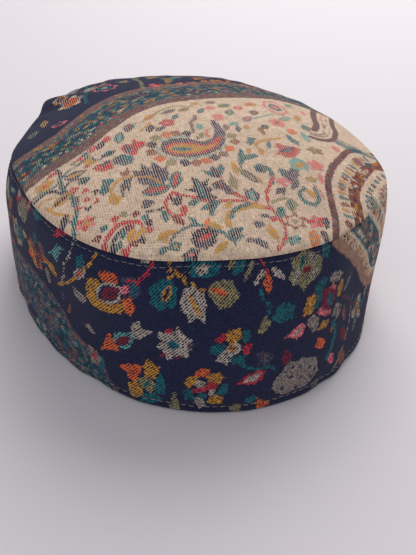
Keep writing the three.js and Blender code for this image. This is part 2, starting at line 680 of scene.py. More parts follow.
class NodeSheet:
    """One node tree that is being drawn up."""

    def __init__(self, tree: bpy.types.NodeTree) -> None:
        """Work on a tree."""
        self.tree = tree

    def add(self, kind: str, **settings: object) -> bpy.types.Node:
        """Add a node.

        Args:
            kind: The node's type.
            settings: Its properties, by name.

        Returns:
            The node.
        """
        node = self.tree.nodes.new(kind)
        for name, value in settings.items():
            setattr(node, name, value)
        return node

    def join(self, source: bpy.types.NodeSocket, target: bpy.types.NodeSocket) -> None:
        """Link two sockets."""
        self.tree.links.new(source, target)

    def fill(self, node: bpy.types.Node, inputs: dict[int | str, object]) -> bpy.types.Node:
        """Link or set a node's inputs.

        Args:
            node: The node.
            inputs: A socket, number or colour for each input, by its name or number.

        Returns:
            The node.
        """
        for name, value in inputs.items():
            if isinstance(value, bpy.types.NodeSocket):
                self.join(value, node.inputs[name])
            else:
                node.inputs[name].default_value = value
        return node

    def put(self, group: bpy.types.NodeTree, **inputs: object) -> bpy.types.Node:
        """Add a group node and fill its inputs by name."""
        return self.fill(self.add("ShaderNodeGroup", node_tree=group), inputs)

    def math(self, operation: str, *values: object) -> bpy.types.NodeSocket:
        """Work out one step of arithmetic."""
        node = self.add("ShaderNodeMath", operation=operation)
        return self.fill(node, dict(enumerate(values))).outputs[0]

    def step(self, value: object, low: object, high: object) -> bpy.types.NodeSocket:
        """Turn a value into 0 below low, 1 above high and a smooth rise in between."""
        node = self.add("ShaderNodeMapRange", interpolation_type="SMOOTHSTEP")
        return self.fill(node, {"Value": value, "From Min": low, "From Max": high}).outputs["Result"]

    def blend(self, share: object, first: object, second: object) -> bpy.types.NodeSocket:
        """Mix two colours by a share."""
        node = self.add("ShaderNodeMix", data_type="RGBA")
        return self.fill(node, {0: share, 6: first, 7: second}).outputs[2]

    def between(self, share: object, first: object, second: object) -> bpy.types.NodeSocket:
        """Mix two values by a share."""
        return self.math("MULTIPLY_ADD", share, self.math("SUBTRACT", second, first), first)

    def shade(self, colour: object, factor: object) -> bpy.types.NodeSocket:
        """Multiply a colour by a grey factor."""
        node = self.add("ShaderNodeVectorMath", operation="SCALE")
        return self.fill(node, {"Vector": colour, "Scale": factor}).outputs["Vector"]

    def stretch(self, vector: object, scale: tuple[float, float, float]) -> bpy.types.NodeSocket:
        """Multiply a place by three factors."""
        node = self.add("ShaderNodeVectorMath", operation="MULTIPLY")
        return self.fill(node, {0: vector, 1: scale}).outputs["Vector"]

    def noise(self, place: object, scale: float, detail: float = 2.0) -> bpy.types.NodeSocket:
        """Add a noise texture that reads a place on the cloth."""
        node = self.add("ShaderNodeTexNoise")
        return self.fill(node, {"Vector": place, "Scale": scale, "Detail": detail}).outputs["Fac"]

    def cloth_place(self) -> bpy.types.NodeSocket:
        """Read the place on the unrolled cloth, in millimetres."""
        unrolled = self.add("ShaderNodeUVMap", uv_map=CLOTH_MAP)
        return self.stretch(unrolled.outputs["UV"], (1.0 / MM,) * 3)


class Groups:
    """The node groups that the finishes share, each made once."""

    float_yarns: tuple[tuple[float, Wool], ...] = (
        (0.0, Wool.NAVY), (0.36, Wool.TEAL), (0.44, Wool.CREAM), (0.5, Wool.RED),
        (0.54, Wool.NAVY), (0.6, Wool.MUSTARD), (0.66, Wool.TEAL),
    )

    def __init__(self) -> None:
        """Make every group."""
        self.twill = self.make_twill()
        self.inlay = self.make_inlay()
        self.floats = self.make_floats()
        self.wear_and_shading = self.make_wear_and_shading()
        self.relief = self.make_relief()

    @staticmethod
    def begin(
        name: str, takes: str, gives: str
    ) -> tuple[NodeSheet, dict[str, bpy.types.NodeSocket], bpy.types.Node]:
        """Start a node group.

        Args:
            name: The group's name.
            takes: The inputs' names, each with its kind after a colon if it isn't a number.
            gives: The outputs' names, written in the same way.

        Returns:
            The sheet to draw on, the inputs by name and the output node.
        """
        tree = bpy.data.node_groups.new(name, "ShaderNodeTree")
        for way, written in (("INPUT", takes), ("OUTPUT", gives)):
            for entry in written.split():
                label, _, kind = entry.partition(":")
                socket = f"NodeSocket{kind or 'Float'}"
                tree.interface.new_socket(label, in_out=way, socket_type=socket)
        sheet = NodeSheet(tree)
        source = sheet.add("NodeGroupInput")
        target = sheet.add("NodeGroupOutput")
        return sheet, {socket.name: socket for socket in source.outputs if socket.name}, target

    def make_twill(self) -> bpy.types.NodeTree:
        """Make the twill's slanting lines and the yarn's twist along them.

        Returns:
            The group.
        """
        sheet, takes, target = self.begin(
            "twill lines", "Cloth:Vector Lean Pitch", "Line Yarn Stagger Pick"
        )
        parts = sheet.add("ShaderNodeSeparateXYZ")
        sheet.join(takes["Cloth"], parts.inputs[0])
        lean = sheet.math("RADIANS", takes["Lean"])
        across = sheet.math(
            "SUBTRACT",
            sheet.math("MULTIPLY", parts.outputs["X"], sheet.math("SINE", lean)),
            sheet.math("MULTIPLY", parts.outputs["Y"], sheet.math("COSINE", lean)),
        )
        along = sheet.math(
            "ADD",
            sheet.math("MULTIPLY", parts.outputs["X"], sheet.math("COSINE", lean)),
            sheet.math("MULTIPLY", parts.outputs["Y"], sheet.math("SINE", lean)),
        )
        sway = sheet.math("MULTIPLY", sheet.noise(takes["Cloth"], 0.2, 1.0), 0.7)
        turns = sheet.math("DIVIDE", sheet.math("ADD", across, sway), takes["Pitch"])
        wave = sheet.math("COSINE", sheet.math("MULTIPLY", turns, math.tau))
        line = sheet.math("MULTIPLY_ADD", wave, 0.5, 0.5)
        twist = sheet.math("MULTIPLY", sheet.math("DIVIDE", along, takes["Pitch"]), math.tau * 0.8)
        lag = sheet.math("MULTIPLY", sheet.math("FLOOR", turns), 2.2)
        yarn = sheet.math("SINE", sheet.math("ADD", twist, lag))
        for name, pace in (("Stagger", 0.42), ("Pick", 1.15)):
            own = sheet.add("ShaderNodeCombineXYZ")
            sheet.join(sheet.math("MULTIPLY", sheet.math("FLOOR", turns), 7.3), own.inputs["X"])
            sheet.join(sheet.math("MULTIPLY", along, pace), own.inputs["Y"])
            sheet.join(sheet.noise(own.outputs["Vector"], 1.0, 1.0), target.inputs[name])
        sheet.join(line, target.inputs["Line"])
        sheet.join(sheet.math("MULTIPLY_ADD", yarn, 0.5, 0.5), target.inputs["Yarn"])
        return sheet.tree

    def make_inlay(self) -> bpy.types.NodeTree:
        """Make a motif's mask: ragged at its edge, and crossed by lines of the ground.

        Returns:
            The group.
        """
        sheet, takes, target = self.begin(
            "woven motif", "Edge Line Yarn Stagger Pick Cloth:Vector Cover Breaks", "Mask"
        )
        rag = sheet.math("MULTIPLY_ADD", takes["Stagger"], 2.8, -1.4)
        stray = sheet.math("MULTIPLY_ADD", sheet.noise(takes["Cloth"], 1.4), 0.6, -0.3)
        reach = sheet.math("ADD", takes["Edge"], sheet.math("ADD", rag, stray))
        form = sheet.step(reach, -0.10, 0.14)
        low = sheet.math("SUBTRACT", 1.0, takes["Cover"])
        gaps = sheet.math("MULTIPLY", sheet.math("SUBTRACT", takes["Pick"], 0.5), takes["Breaks"])
        broken = sheet.math("MULTIPLY_ADD", takes["Yarn"], 0.30, gaps)
        breaks = sheet.math("ADD", takes["Line"], broken)
        shows = sheet.step(breaks, low, sheet.math("ADD", low, 0.3))
        sheet.join(sheet.math("MULTIPLY", form, shows), target.inputs["Mask"])
        return sheet.tree

    def make_floats(self) -> bpy.types.NodeTree:
        """Make the cloth's reverse, where every yarn runs loose in long streaks.

        Returns:
            The group.
        """
        sheet, takes, target = self.begin(
            "loose floats", "Cloth:Vector Ground:Color Thread:Color", "Color:Color"
        )
        runs = sheet.stretch(takes["Cloth"], (0.10, 1.1, 1.0))
        ramp = sheet.add("ShaderNodeValToRGB")
        ramp.color_ramp.interpolation = "CONSTANT"
        elements = ramp.color_ramp.elements
        while len(elements) < len(self.float_yarns):
            elements.new(0.5)
        for element, (place, wool) in zip(elements, self.float_yarns):
            element.position = place
            element.color = (*wool.tint, 1.0)
        sheet.join(sheet.noise(runs, 1.0, 3.0), ramp.inputs["Fac"])
        base = sheet.blend(0.45, takes["Ground"], takes["Thread"])
        sheet.join(sheet.blend(0.6, base, ramp.outputs["Color"]), target.inputs["Color"])
        return sheet.tree

    def make_wear_and_shading(self) -> bpy.types.NodeTree:
        """Make the soft unevenness of used wool, with painted light: random patches and single yarns,
        pale fuzz, and painted light and shade on the twill ridges and twisted yarns.

        Returns:
            The group.
        """
        sheet, takes, target = self.begin(
            "worn wool", "Cloth:Vector Color:Color Line Yarn Stagger Pick", "Color:Color Rough"
        )
        patch = sheet.math("MULTIPLY_ADD", sheet.noise(takes["Cloth"], 0.05), 0.3, 0.85)
        single = takes["Stagger"]
        own = sheet.math("MULTIPLY_ADD", single, 0.7, 0.65)
        # Painted light and shade: the twill ridges are drawn lighter and the grooves between them
        # darker.
        ridge = sheet.math("MULTIPLY_ADD", takes["Line"], 0.40, 0.74)
        pick = sheet.math("MULTIPLY_ADD", takes["Pick"], 1.2, 0.34)
        # Painted light and shade along each yarn's twist, on top of a random tone for each pick.
        twist = sheet.math("MULTIPLY_ADD", takes["Yarn"], 0.14, pick)
        light = sheet.math("MULTIPLY", sheet.math("MULTIPLY", patch, own), ridge)
        toned = sheet.shade(takes["Color"], sheet.math("MULTIPLY", light, twist))
        fuzz = sheet.step(sheet.noise(takes["Cloth"], 2.2, 3.0), 0.56, 0.80)
        # Pale fuzz, plus a painted highlight on parts of the twill ridges.
        lit = sheet.step(sheet.math("MULTIPLY", takes["Line"], takes["Pick"]), 0.34, 0.60)
        lint_and_sheen = sheet.math("MULTIPLY_ADD", fuzz, 0.05, sheet.math("MULTIPLY", lit, 0.03))
        pale = sheet.blend(lint_and_sheen, toned, (0.40, 0.42, 0.56, 1.0))
        sheet.join(pale, target.inputs["Color"])
        rough = sheet.math("MULTIPLY_ADD", single, 0.16, 0.78)
        sheet.join(rough, target.inputs["Rough"])
        return sheet.tree

    def make_relief(self) -> bpy.types.NodeTree:
        """Make the cloth's relief: twill ridges, twisted yarns, proud motif yarn and fuzz.

        Returns:
            The group.
        """
        sheet, takes, target = self.begin(
            "cloth relief", "Cloth:Vector Line Yarn Mask Depth", "Normal:Vector"
        )
        ridge = sheet.math("MULTIPLY", takes["Line"], 0.7)
        yarn = sheet.math("MULTIPLY_ADD", takes["Yarn"], 0.35, ridge)
        proud = sheet.math("MULTIPLY_ADD", takes["Mask"], 0.5, yarn)
        fuzz = sheet.math("MULTIPLY_ADD", sheet.noise(takes["Cloth"], 3.5, 3.0), 0.5, proud)
        bump = sheet.add("ShaderNodeBump")
        sheet.fill(bump, {"Strength": 0.75, "Distance": takes["Depth"], "Height": fuzz})
        sheet.join(bump.outputs["Normal"], target.inputs["Normal"])
        return sheet.tree


# Finishes


def start_material(name: str) -> tuple[bpy.types.Material, NodeSheet, bpy.types.Node]:
    """Start a material.

    Args:
        name: Its name.

    Returns:
        The material, the sheet to draw its nodes on and its shader.
    """
    made = bpy.data.materials.new(name)
    made.use_nodes = True
    return made, NodeSheet(made.node_tree), made.node_tree.nodes["Principled BSDF"]


@dataclass(frozen=True)
class ClothFinish:
    """A twill-woven wool that shows the yarns laid on its points."""

    name: str
    lean: float
    pitch: float
    cover: float
    grain: float
    picks: float
    breaks: float
    depth: float = 0.00022
    sheen: float = 0.06
    sheen_roughness: float = 0.6
    specular: float = 0.12

    def material(self, groups: Groups) -> bpy.types.Material:
        """Make the material.

        Args:
            groups: The shared node groups.

        Returns:
            The material, which reads the mesh's UV map and its woven attributes.
        """
        made, sheet, shader = start_material(self.name)
        cloth = sheet.cloth_place()
        ground, thread, edge, reverse = (
            sheet.add("ShaderNodeAttribute", attribute_name=name).outputs
            for name in (GROUND, THREAD, EDGE, REVERSE)
        )
        twill = sheet.put(groups.twill, Cloth=cloth, Lean=self.lean, Pitch=self.pitch)
        yarns = {socket.name: socket for socket in twill.outputs}
        cover = {"Cover": self.cover, "Breaks": self.breaks}
        inlay = sheet.put(groups.inlay, Cloth=cloth, Edge=edge["Fac"], **yarns, **cover)
        mask = inlay.outputs["Mask"]
        for yarn, share in (("Line", self.grain), ("Pick", self.picks)):
            plain = sheet.math("MULTIPLY_ADD", yarns[yarn], share, 0.5 - 0.5 * share)
            yarns[yarn] = sheet.between(mask, plain, yarns[yarn])
        woven = {"Ground": ground["Color"], "Thread": thread["Color"]}
        face = sheet.blend(mask, woven["Ground"], woven["Thread"])
        back = sheet.put(groups.floats, Cloth=cloth, **woven)
        shown = sheet.blend(reverse["Fac"], face, back.outputs["Color"])
        worn_and_shaded = sheet.put(groups.wear_and_shading, Cloth=cloth, Color=shown, **yarns)
        raised = {"Line": yarns["Line"], "Yarn": yarns["Yarn"], "Depth": self.depth}
        relief = sheet.put(groups.relief, Cloth=cloth, Mask=mask, **raised)
        surface = {
            "Base Color": worn_and_shaded.outputs["Color"],
            "Roughness": worn_and_shaded.outputs["Rough"],
            "Normal": relief.outputs["Normal"],
            "Sheen Weight": self.sheen,
            "Sheen Roughness": self.sheen_roughness,
            "Specular IOR Level": self.specular,
        }
        sheet.fill(shader, surface)
        return made


@dataclass(frozen=True)
class StitchFinish:
    """A plied cotton sewing thread."""

    name: str = "sewing_thread"
    wool: Wool = Wool.PALE
    plies: float = 0.45
    brightness: float = 1.5
    sheen: float = 0.25
    specular: float = 0.3
    relief: float = 0.6
    depth: float = 0.00008
    dirt_size: float = 0.06
    ply_light: Pair = (0.3, 0.7)
    ply_rough: Pair = (-0.15, 0.8)

    def material(self) -> bpy.types.Material:
        """Make the material, with slanting plies along each stitch, painted lighter on their crests
        and darker between them.

        Returns:
            The material, which reads the stitches' UV map.
        """
        made, sheet, shader = start_material(self.name)
        cloth = sheet.cloth_place()
        parts = sheet.add("ShaderNodeSeparateXYZ")
        sheet.join(cloth, parts.inputs[0])
        slant = sheet.math("ADD", parts.outputs["X"], parts.outputs["Y"])
        wave = sheet.math("SINE", sheet.math("MULTIPLY", slant, math.tau / self.plies))
        ply = sheet.math("MULTIPLY_ADD", wave, 0.5, 0.5)
        dirt = sheet.noise(cloth, self.dirt_size)
        # Painted shade in the grooves between the plies, times a slow random dirt.
        light = sheet.math("MULTIPLY", sheet.math("MULTIPLY_ADD", ply, *self.ply_light), dirt)
        tone = sheet.shade(tuple(self.wool.tint), sheet.math("MULTIPLY", light, self.brightness))
        bump = sheet.add("ShaderNodeBump")
        sheet.fill(bump, {"Strength": self.relief, "Distance": self.depth, "Height": ply})
        surface = {
            "Base Color": tone,
            "Roughness": sheet.math("MULTIPLY_ADD", ply, *self.ply_rough),
            "Normal": bump.outputs["Normal"],
            "Sheen Weight": self.sheen,
            "Specular IOR Level": self.specular,
        }
        sheet.fill(shader, surface)
        return made


@dataclass(frozen=True)
class FloorFinish:
    """A plain pale table top with a faint unevenness."""

    name: str = "pale_floor"
    tint: tuple[float, float, float] = (0.76, 0.72, 0.74)
    cloud_size: float = 6.0
    cloud_light: Pair = (0.04, 0.98)
    cloud_rough: Pair = (0.08, 0.6)

    def material(self) -> bpy.types.Material:
        """Make the material.

        Returns:
            The material, which reads the floor's UV map.
        """
        made, sheet, shader = start_material(self.name)
        unrolled = sheet.add("ShaderNodeUVMap", uv_map=CLOTH_MAP)
        cloud = sheet.noise(unrolled.outputs["UV"], self.cloud_size)
        tone = sheet.shade(self.tint, sheet.math("MULTIPLY_ADD", cloud, *self.cloud_light))
        rough = sheet.math("MULTIPLY_ADD", cloud, *self.cloud_rough)
        sheet.fill(shader, {"Base Color": tone, "Roughness": rough})
        return made


# Working on meshes


def clear_selection() -> None:
    """Deselect everything."""
    bpy.ops.object.select_all(action="DESELECT")


def active_object() -> bpy.types.Object:
    """The object that the last operator made or changed."""
    return bpy.context.view_layer.objects.active


def points_of(piece: bpy.types.Object) -> np.ndarray:
    """Read a mesh's points.

    Args:
        piece: The mesh.

    Returns:
        One row of x, y and z for each point.
    """
    flat = np.empty(len(piece.data.vertices) * 3, dtype=np.float32)
    piece.data.vertices.foreach_get("co", flat)
    return flat.reshape(-1, 3).astype(float)


def move_points(piece: bpy.types.Object, points: np.ndarray) -> None:
    """Write a mesh's points."""
    piece.data.vertices.foreach_set("co", points.astype(np.float32).ravel())
    piece.data.update()


def write_cloth_map(piece: bpy.types.Object, cloth: np.ndarray) -> None:
    """Lay the mesh's one UV map out in metres on the cloth.

    Args:
        piece: The cloth.
        cloth: Each point's place on the cloth, in millimetres.
    """
    layer = piece.data.uv_layers[0]
    layer.name = CLOTH_MAP
    corners = np.empty(len(piece.data.loops), dtype=np.int32)
    piece.data.loops.foreach_get("vertex_index", corners)
    layer.data.foreach_set("uv", (cloth[corners] * MM).astype(np.float32).ravel())


def write_weave(piece: bpy.types.Object, chart: Chart, reverse: np.ndarray) -> None:
    """Write what is woven at each point to the mesh.

    Args:
        piece: The cloth.
        chart: The colours and the motifs' edges.
        reverse: How far each point shows the cloth's reverse, 0 to 1.
    """
    for name, colour in ((GROUND, chart.ground), (THREAD, chart.thread)):
        layer = piece.data.attributes.new(name, "FLOAT_COLOR", "POINT")
        full = np.hstack([colour, np.ones((len(colour), 1))])
        layer.data.foreach_set("color", full.astype(np.float32).ravel())
    for name, value in ((EDGE, np.clip(chart.edge, -3.0, 3.0)), (REVERSE, reverse)):
        layer = piece.data.attributes.new(name, "FLOAT", "POINT")
        layer.data.foreach_set("value", value.astype(np.float32))


def join_pieces(parts: Sequence[bpy.types.Object], name: str) -> bpy.types.Object:
    """Join meshes into the first one and name it.

    Args:
        parts: The meshes.
        name: The joined mesh's name.

    Returns:
        The joined mesh.
    """
    clear_selection()
    for part in parts:
        part.select_set(True)
    bpy.context.view_layer.objects.active = parts[0]
    bpy.ops.object.join()
    parts[0].name = name
    parts[0].data.name = name
    return parts[0]


def weave_cloth(
    piece: bpy.types.Object, chart: Chart, motifs: Sequence[Motif], reverse: np.ndarray
) -> None:
    """Weave a cloth's motifs, write them to its points and turn it from millimetres to metres.

    Args:
        piece: The cloth.
        chart: Its plain ground.
        motifs: What is woven on it, in order.
        reverse: How far each point shows the cloth's reverse, 0 to 1.
    """
    for motif in motifs:
        motif.weave(chart)
    write_cloth_map(piece, chart.at)
    write_weave(piece, chart, reverse)
    move_points(piece, points_of(piece) * MM)


def finish_piece(piece: bpy.types.Object, material: bpy.types.Material) -> None:
    """Give a piece its material and shade it smooth up to the smooth angle.

    Args:
        piece: The piece.
        material: Its material.
    """
    piece.data.materials.clear()
    piece.data.materials.append(material)
    clear_selection()
    piece.select_set(True)
    bpy.context.view_layer.objects.active = piece
    bpy.ops.object.shade_smooth_by_angle(angle=math.radians(SMOOTH_ANGLE))


# The crown


@dataclass
class Crown:
    """The domed oval panel, with its seam allowance turned down inside the band."""

    form: CapForm
    finish: ClothFinish = ClothFinish("crown_wool", 84.0, 0.92, 0.72, 0.60, 0.65, 1.6)
    rings: int = 140
    under_rings: int = 60
    cloth: float = 2.0
    dome_points: int = 120
    dome_reach: float = 78.0
    under_reach: float = 75.4
    flat: Pair = (0.176, 0.187)
    flat_area: float = 0.0262
    puckers: Ripple = Ripple(9.0, 16.0, 5)
    pucker_height: float = 0.5
    pucker_fade: float = 7.0
    seam_fade: float = 3.0
    slack: Ripple = Ripple(26.0, 60.0, 8)
    slack_height: float = 0.32
    slack_fade: float = 20.0
    over_edge: tuple[Pair, ...] = (
        (78.6, 68.73), (79.25, 68.3), (79.7, 67.8), (79.95, 67.25),
        (80.0, 66.9), (79.8, 66.62), (79.3, 66.46),
    )
    allowance: tuple[Pair, ...] = (
        (76.15, 66.0), (76.2, 60.0), (76.35, 58.75), (76.95, 58.45),
        (77.55, 58.75), (77.7, 60.2), (77.7, 66.2),
    )

    def outer_section(self) -> np.ndarray:
        """Draw the outside, from the middle to the seam.

        Returns:
            The radius and height of each point.
        """
        radius = np.linspace(0.0, self.dome_reach, self.dome_points)
        dome = np.stack([radius, self.form.dome_height(radius)], axis=1)
        return np.vstack([dome, np.array(self.over_edge)])

    def under_section(self) -> np.ndarray:
        """Draw the underside and the allowance, evenly ringed.

        Returns:
            The radius and height of each ring.
        """
        count = self.under_rings - len(self.allowance) + 1
        radius = np.linspace(0.0, self.under_reach, count)
        dome = np.stack([radius, self.form.dome_height(radius) - self.cloth], axis=1)
        return np.vstack([dome, np.array(self.allowance)])

    def ring_sheet(self, rings: int, section: np.ndarray, even: bool) -> bpy.types.Object:
        """Make one side of the panel from a grid whose squares become rings.

        Args:
            rings: How many rings there are from the middle out.
            section: Radius and height from the middle out.
            even: Whether the rings are spread evenly along the section.

        Returns:
            The open sheet.
        """
        clear_selection()
        bpy.ops.mesh.primitive_grid_add(x_subdivisions=2 * rings, y_subdivisions=2 * rings, size=2)
        sheet = active_object()
        flat = points_of(sheet)[:, :2]
        first, second = flat[:, 0], flat[:, 1]
        sideways = np.abs(first) >= np.abs(second)
        share = np.where(sideways, np.abs(first), np.abs(second))
        with np.errstate(divide="ignore", invalid="ignore"):
            from_side = np.nan_to_num(second / first) * math.pi / 4.0
            from_front = math.pi / 2.0 - np.nan_to_num(first / second) * math.pi / 4.0
        angle = np.where(sideways, from_side, from_front)
        turned = np.where(sideways, first < 0.0, second < 0.0)
        angle = np.degrees(angle + math.pi * turned)
        if even:
            steps = np.hypot(*np.diff(section, axis=0).T)
            run = np.concatenate([[0.0], np.cumsum(steps)])
            run = run / run[-1]
        else:
            run = np.linspace(0.0, 1.0, len(section))
        radius = np.interp(share, run, section[:, 0])
        height = np.interp(share, run, section[:, 1])
        points = self.form.surface(angle, radius, height)
        inward = self.form.radius - radius
        around = np.radians(angle) * self.form.radius
        pucker = self.pucker_height * self.puckers.at(around, np.zeros_like(around))
        pucker *= np.exp(-inward / self.pucker_fade) * np.clip(inward / self.seam_fade, 0.0, 1.0)
        slack = self.slack_height * self.slack.at(points[:, 0], points[:, 1])
        points[:, 2] += pucker + slack * np.clip(inward / self.slack_fade, 0.0, 1.0)
        move_points(sheet, points)
        return sheet

    def panel(self) -> tuple[bpy.types.Object, int]:
        """Make both sides and bridge them along the seam.

        Returns:
            The closed panel, and how many of its points, its first ones, are the outside's.
        """
        outer = self.ring_sheet(self.rings, self.outer_section(), even=True)
        under = self.ring_sheet(self.under_rings, self.under_section(), even=False)
        outer_points = len(outer.data.vertices)
        panel = join_pieces([outer, under], "crown_cloth")
        bpy.ops.object.mode_set(mode="EDIT")
        bpy.ops.mesh.select_mode(type="EDGE")
        bpy.ops.mesh.select_all(action="DESELECT")
        unwanted = ("use_wire", "use_multi_face", "use_non_contiguous", "use_verts")
        bpy.ops.mesh.select_non_manifold(extend=False, **dict.fromkeys(unwanted, False))
        bpy.ops.mesh.bridge_edge_loops()
        bpy.ops.mesh.select_all(action="SELECT")
        bpy.ops.mesh.normals_make_consistent(inside=False)
        bpy.ops.object.mode_set(mode="OBJECT")
        return panel, outer_points

    def build(self, groups: Groups, motifs: Sequence[Motif]) -> bpy.types.Object:
        """Make the panel, weave its motifs and dress it.

        Args:
            groups: The shared node groups.
            motifs: What is woven on it, in order.

        Returns:
            The finished panel.
        """
        panel, outer_points = self.panel()
        chart = Chart(points_of(panel)[:, :2], Wool.CREAM, lambda spot: spot)
        reverse = (np.arange(len(chart.at)) >= outer_points).astype(float)
        weave_cloth(panel, chart, motifs, reverse)
        finish_piece(panel, self.finish.material(groups))
        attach(panel, "root")
        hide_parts("crown_panel")
        return panel


# The side band


@dataclass(frozen=True)
class BandRow:
    """One row of points along the band's section."""

    radius: float
    height: float
    woven: float
    reverse: float


@dataclass
class SideBand:
    """The upright band round the head, with its lower edge turned up inside as a hem."""

    form: CapForm
    finish: ClothFinish = ClothFinish("band_wool", 45.0, 0.92, 0.74, 1.0, 1.0, 3.0)
    columns: int = 760
    outer_rows: int = 88
    top: float = 66.25
    top_round: float = 1.2
    cloth: float = 2.0
    hem_cloth: float = 1.4
    hem_height: float = 14.2
    hem_rows: int = 13
    inner_rows: int = 9
    back_seam: float = 90.0
    middle: float = 250.0
    flat: Pair = (0.600, 0.083)
    puckers: Ripple = Ripple(8.0, 17.0, 21)
    waves: Ripple = Ripple(30.0, 90.0, 4)
    hem_waves: Ripple = Ripple(14.0, 34.0, 12)
    pucker_height: float = 0.32
    pucker_fade: float = 8.0
    wave_height: float = 0.55
    hem_wave_height: float = 0.34
    hem_fade: float = 9.0
    stitch_rows: Pair = (64.6, 4.4)
    stitch_pull: float = 0.34
    stitch_beat: float = 3.9
    spread_height: float = 34.0
    weld: float = 0.00002

    @cached_property
    def runs(self) -> tuple[np.ndarray, np.ndarray, list[np.ndarray]]:
        """Measure the oval at a few heights.

        Returns:
            Angles all round, the heights, and at each height how far round each angle is.
        """
        steps = np.linspace(self.back_seam, self.back_seam + 360.0, ROUND_STEPS)
        levels = np.linspace(0.0, self.top, 6)
        lengths = []
        for level in levels:
            ring = self.form.surface(
                steps, np.full_like(steps, self.form.radius), np.full_like(steps, level)
            )
            moved = np.hypot(np.diff(ring[:, 0]), np.diff(ring[:, 1]))
            run = np.concatenate([[0.0], np.cumsum(moved)])
            lengths.append(run - np.interp(self.middle, steps, run))
        return steps, levels, lengths

    def arcs(self, angle: np.ndarray, height: np.ndarray) -> np.ndarray:
        """Measure along the outside, from the front's middle.

        Args:
            angle: Each point's angle in degrees.
            height: Each point's height.

        Returns:
            The millimetres from the front's middle to each point.
        """
        steps, levels, runs = self.runs
        lengths = [np.interp(angle, steps, run) for run in runs]
        share = np.clip(height, 0.0, self.top) / self.top * (len(levels) - 1)
        low = np.clip(np.floor(share).astype(int), 0, len(levels) - 2)
        table = np.stack(lengths)
        column = np.arange(len(angle))
        part = share - low
        return table[low, column] * (1.0 - part) + table[low + 1, column] * part

    def place(self, spot: Pair) -> Pair:
        """Turn an angle and a height into millimetres on the unrolled band."""
        angle = np.array([(spot[0] - self.back_seam) % 360.0 + self.back_seam])
        return float(self.arcs(angle, np.array([spot[1]]))[0]), spot[1]

    def section(self) -> list[BandRow]:
        """Draw the band's section, from the fold under the rim up the outside and round.

        Returns:
            Its points in order, with heights on the turned-up hem woven as below the rim.
        """
        full = self.form.radius
        half = (self.cloth + self.hem_cloth) / 2.0

        def rim_row(turn: float, side: float) -> BandRow:
            """A point of the round rim, by its turn in degrees and the side it is woven on."""
            away, up = half * math.cos(math.radians(turn)), half * math.sin(math.radians(turn))
            return BandRow(full - half + away, half + up, side * (half + up), 0.0)

        rows = [rim_row(turn, 1.0) for turn in (-90.0, -60.0, -30.0)]
        shoulder = self.top - self.top_round
        for height in np.linspace(half, shoulder, self.outer_rows):
            rows.append(BandRow(full, float(height), float(height), 0.0))
        for turn in (22.5, 45.0, 67.5, 90.0):
            wave = math.radians(turn)
            radius = full - self.top_round * (1.0 - math.cos(wave))
            height = shoulder + self.top_round * math.sin(wave)
            rows.append(BandRow(radius, height, height, 0.0))
        inner = full - self.cloth
        hem = self.hem_height
        for height in np.linspace(self.top, hem + 0.4, self.inner_rows):
            rows.append(BandRow(inner, float(height), float(height), 1.0))
        fold = inner - self.hem_cloth
        for radius, height in ((inner - 0.4, hem), (fold + 0.4, hem - 0.1), (fold, hem - 0.6)):
            rows.append(BandRow(radius, height, -height, 0.0))
        for height in np.linspace(hem - 1.2, half, self.hem_rows):
            rows.append(BandRow(fold, float(height), -float(height), 0.0))
        rows += [rim_row(turn, -1.0) for turn in (-150.0, -120.0, -90.0)]
        return rows

    def slack(self, along: np.ndarray, height: np.ndarray) -> np.ndarray:
        """Work out how far the cloth stands out for its puckers, waves and stitches.

        Args:
            along: How far round each point is, in millimetres.
            height: Each point's height.

        Returns:
            The millimetres that each point stands out, minus for in.
        """
        climb = np.clip(height / self.top, 0.0, 1.0)
        pucker = self.puckers.at(along, 0.05 * height)
        out = self.pucker_height * pucker * np.exp((height - self.top) / self.pucker_fade)
        out += self.wave_height * self.waves.at(along, 0.6 * height) * np.sin(climb * math.pi)
        hem_wave = self.hem_waves.at(along, 0.2 * height)
        out += self.hem_wave_height * hem_wave * np.exp(-((height / self.hem_fade) ** 2))
        pull = self.stitch_pull * (0.75 + 0.25 * np.cos(math.tau * along / self.stitch_beat))
        for stitched in self.stitch_rows:
            out -= pull * np.exp(-((height - stitched) ** 2))
        return out

    def cloth_sheet(self) -> tuple[bpy.types.Object, np.ndarray, np.ndarray]:
        """Roll a grid round the oval along the section.

        Returns:
            The sheet, each point's place on the unrolled band, and where the reverse shows.
        """
        rows = self.section()
        clear_selection()
        bpy.ops.mesh.primitive_grid_add(
            x_subdivisions=self.columns, y_subdivisions=len(rows) - 1, size=2
        )
        sheet = active_object()
        flat = points_of(sheet)
        column = (flat[:, 0] + 1.0) / 2.0
        row = np.rint((flat[:, 1] + 1.0) / 2.0 * (len(rows) - 1)).astype(int)
        steps = self.runs[0]
        run = self.arcs(steps, np.full_like(steps, self.spread_height))
        angle = np.interp(run[0] + column * (run[-1] - run[0]), run, steps)
        section = np.array([astuple(part) for part in rows])
        radius, height, woven, reverse = section[row].T
        along = self.arcs(angle, height)
        turned = np.where(np.abs(angle - self.back_seam - 360.0) < 1e-6, self.back_seam, angle)
        reach = radius + self.slack(self.arcs(turned, height), height)
        move_points(sheet, self.form.surface(turned, reach, height))
        return sheet, np.stack([along, woven], axis=1), reverse

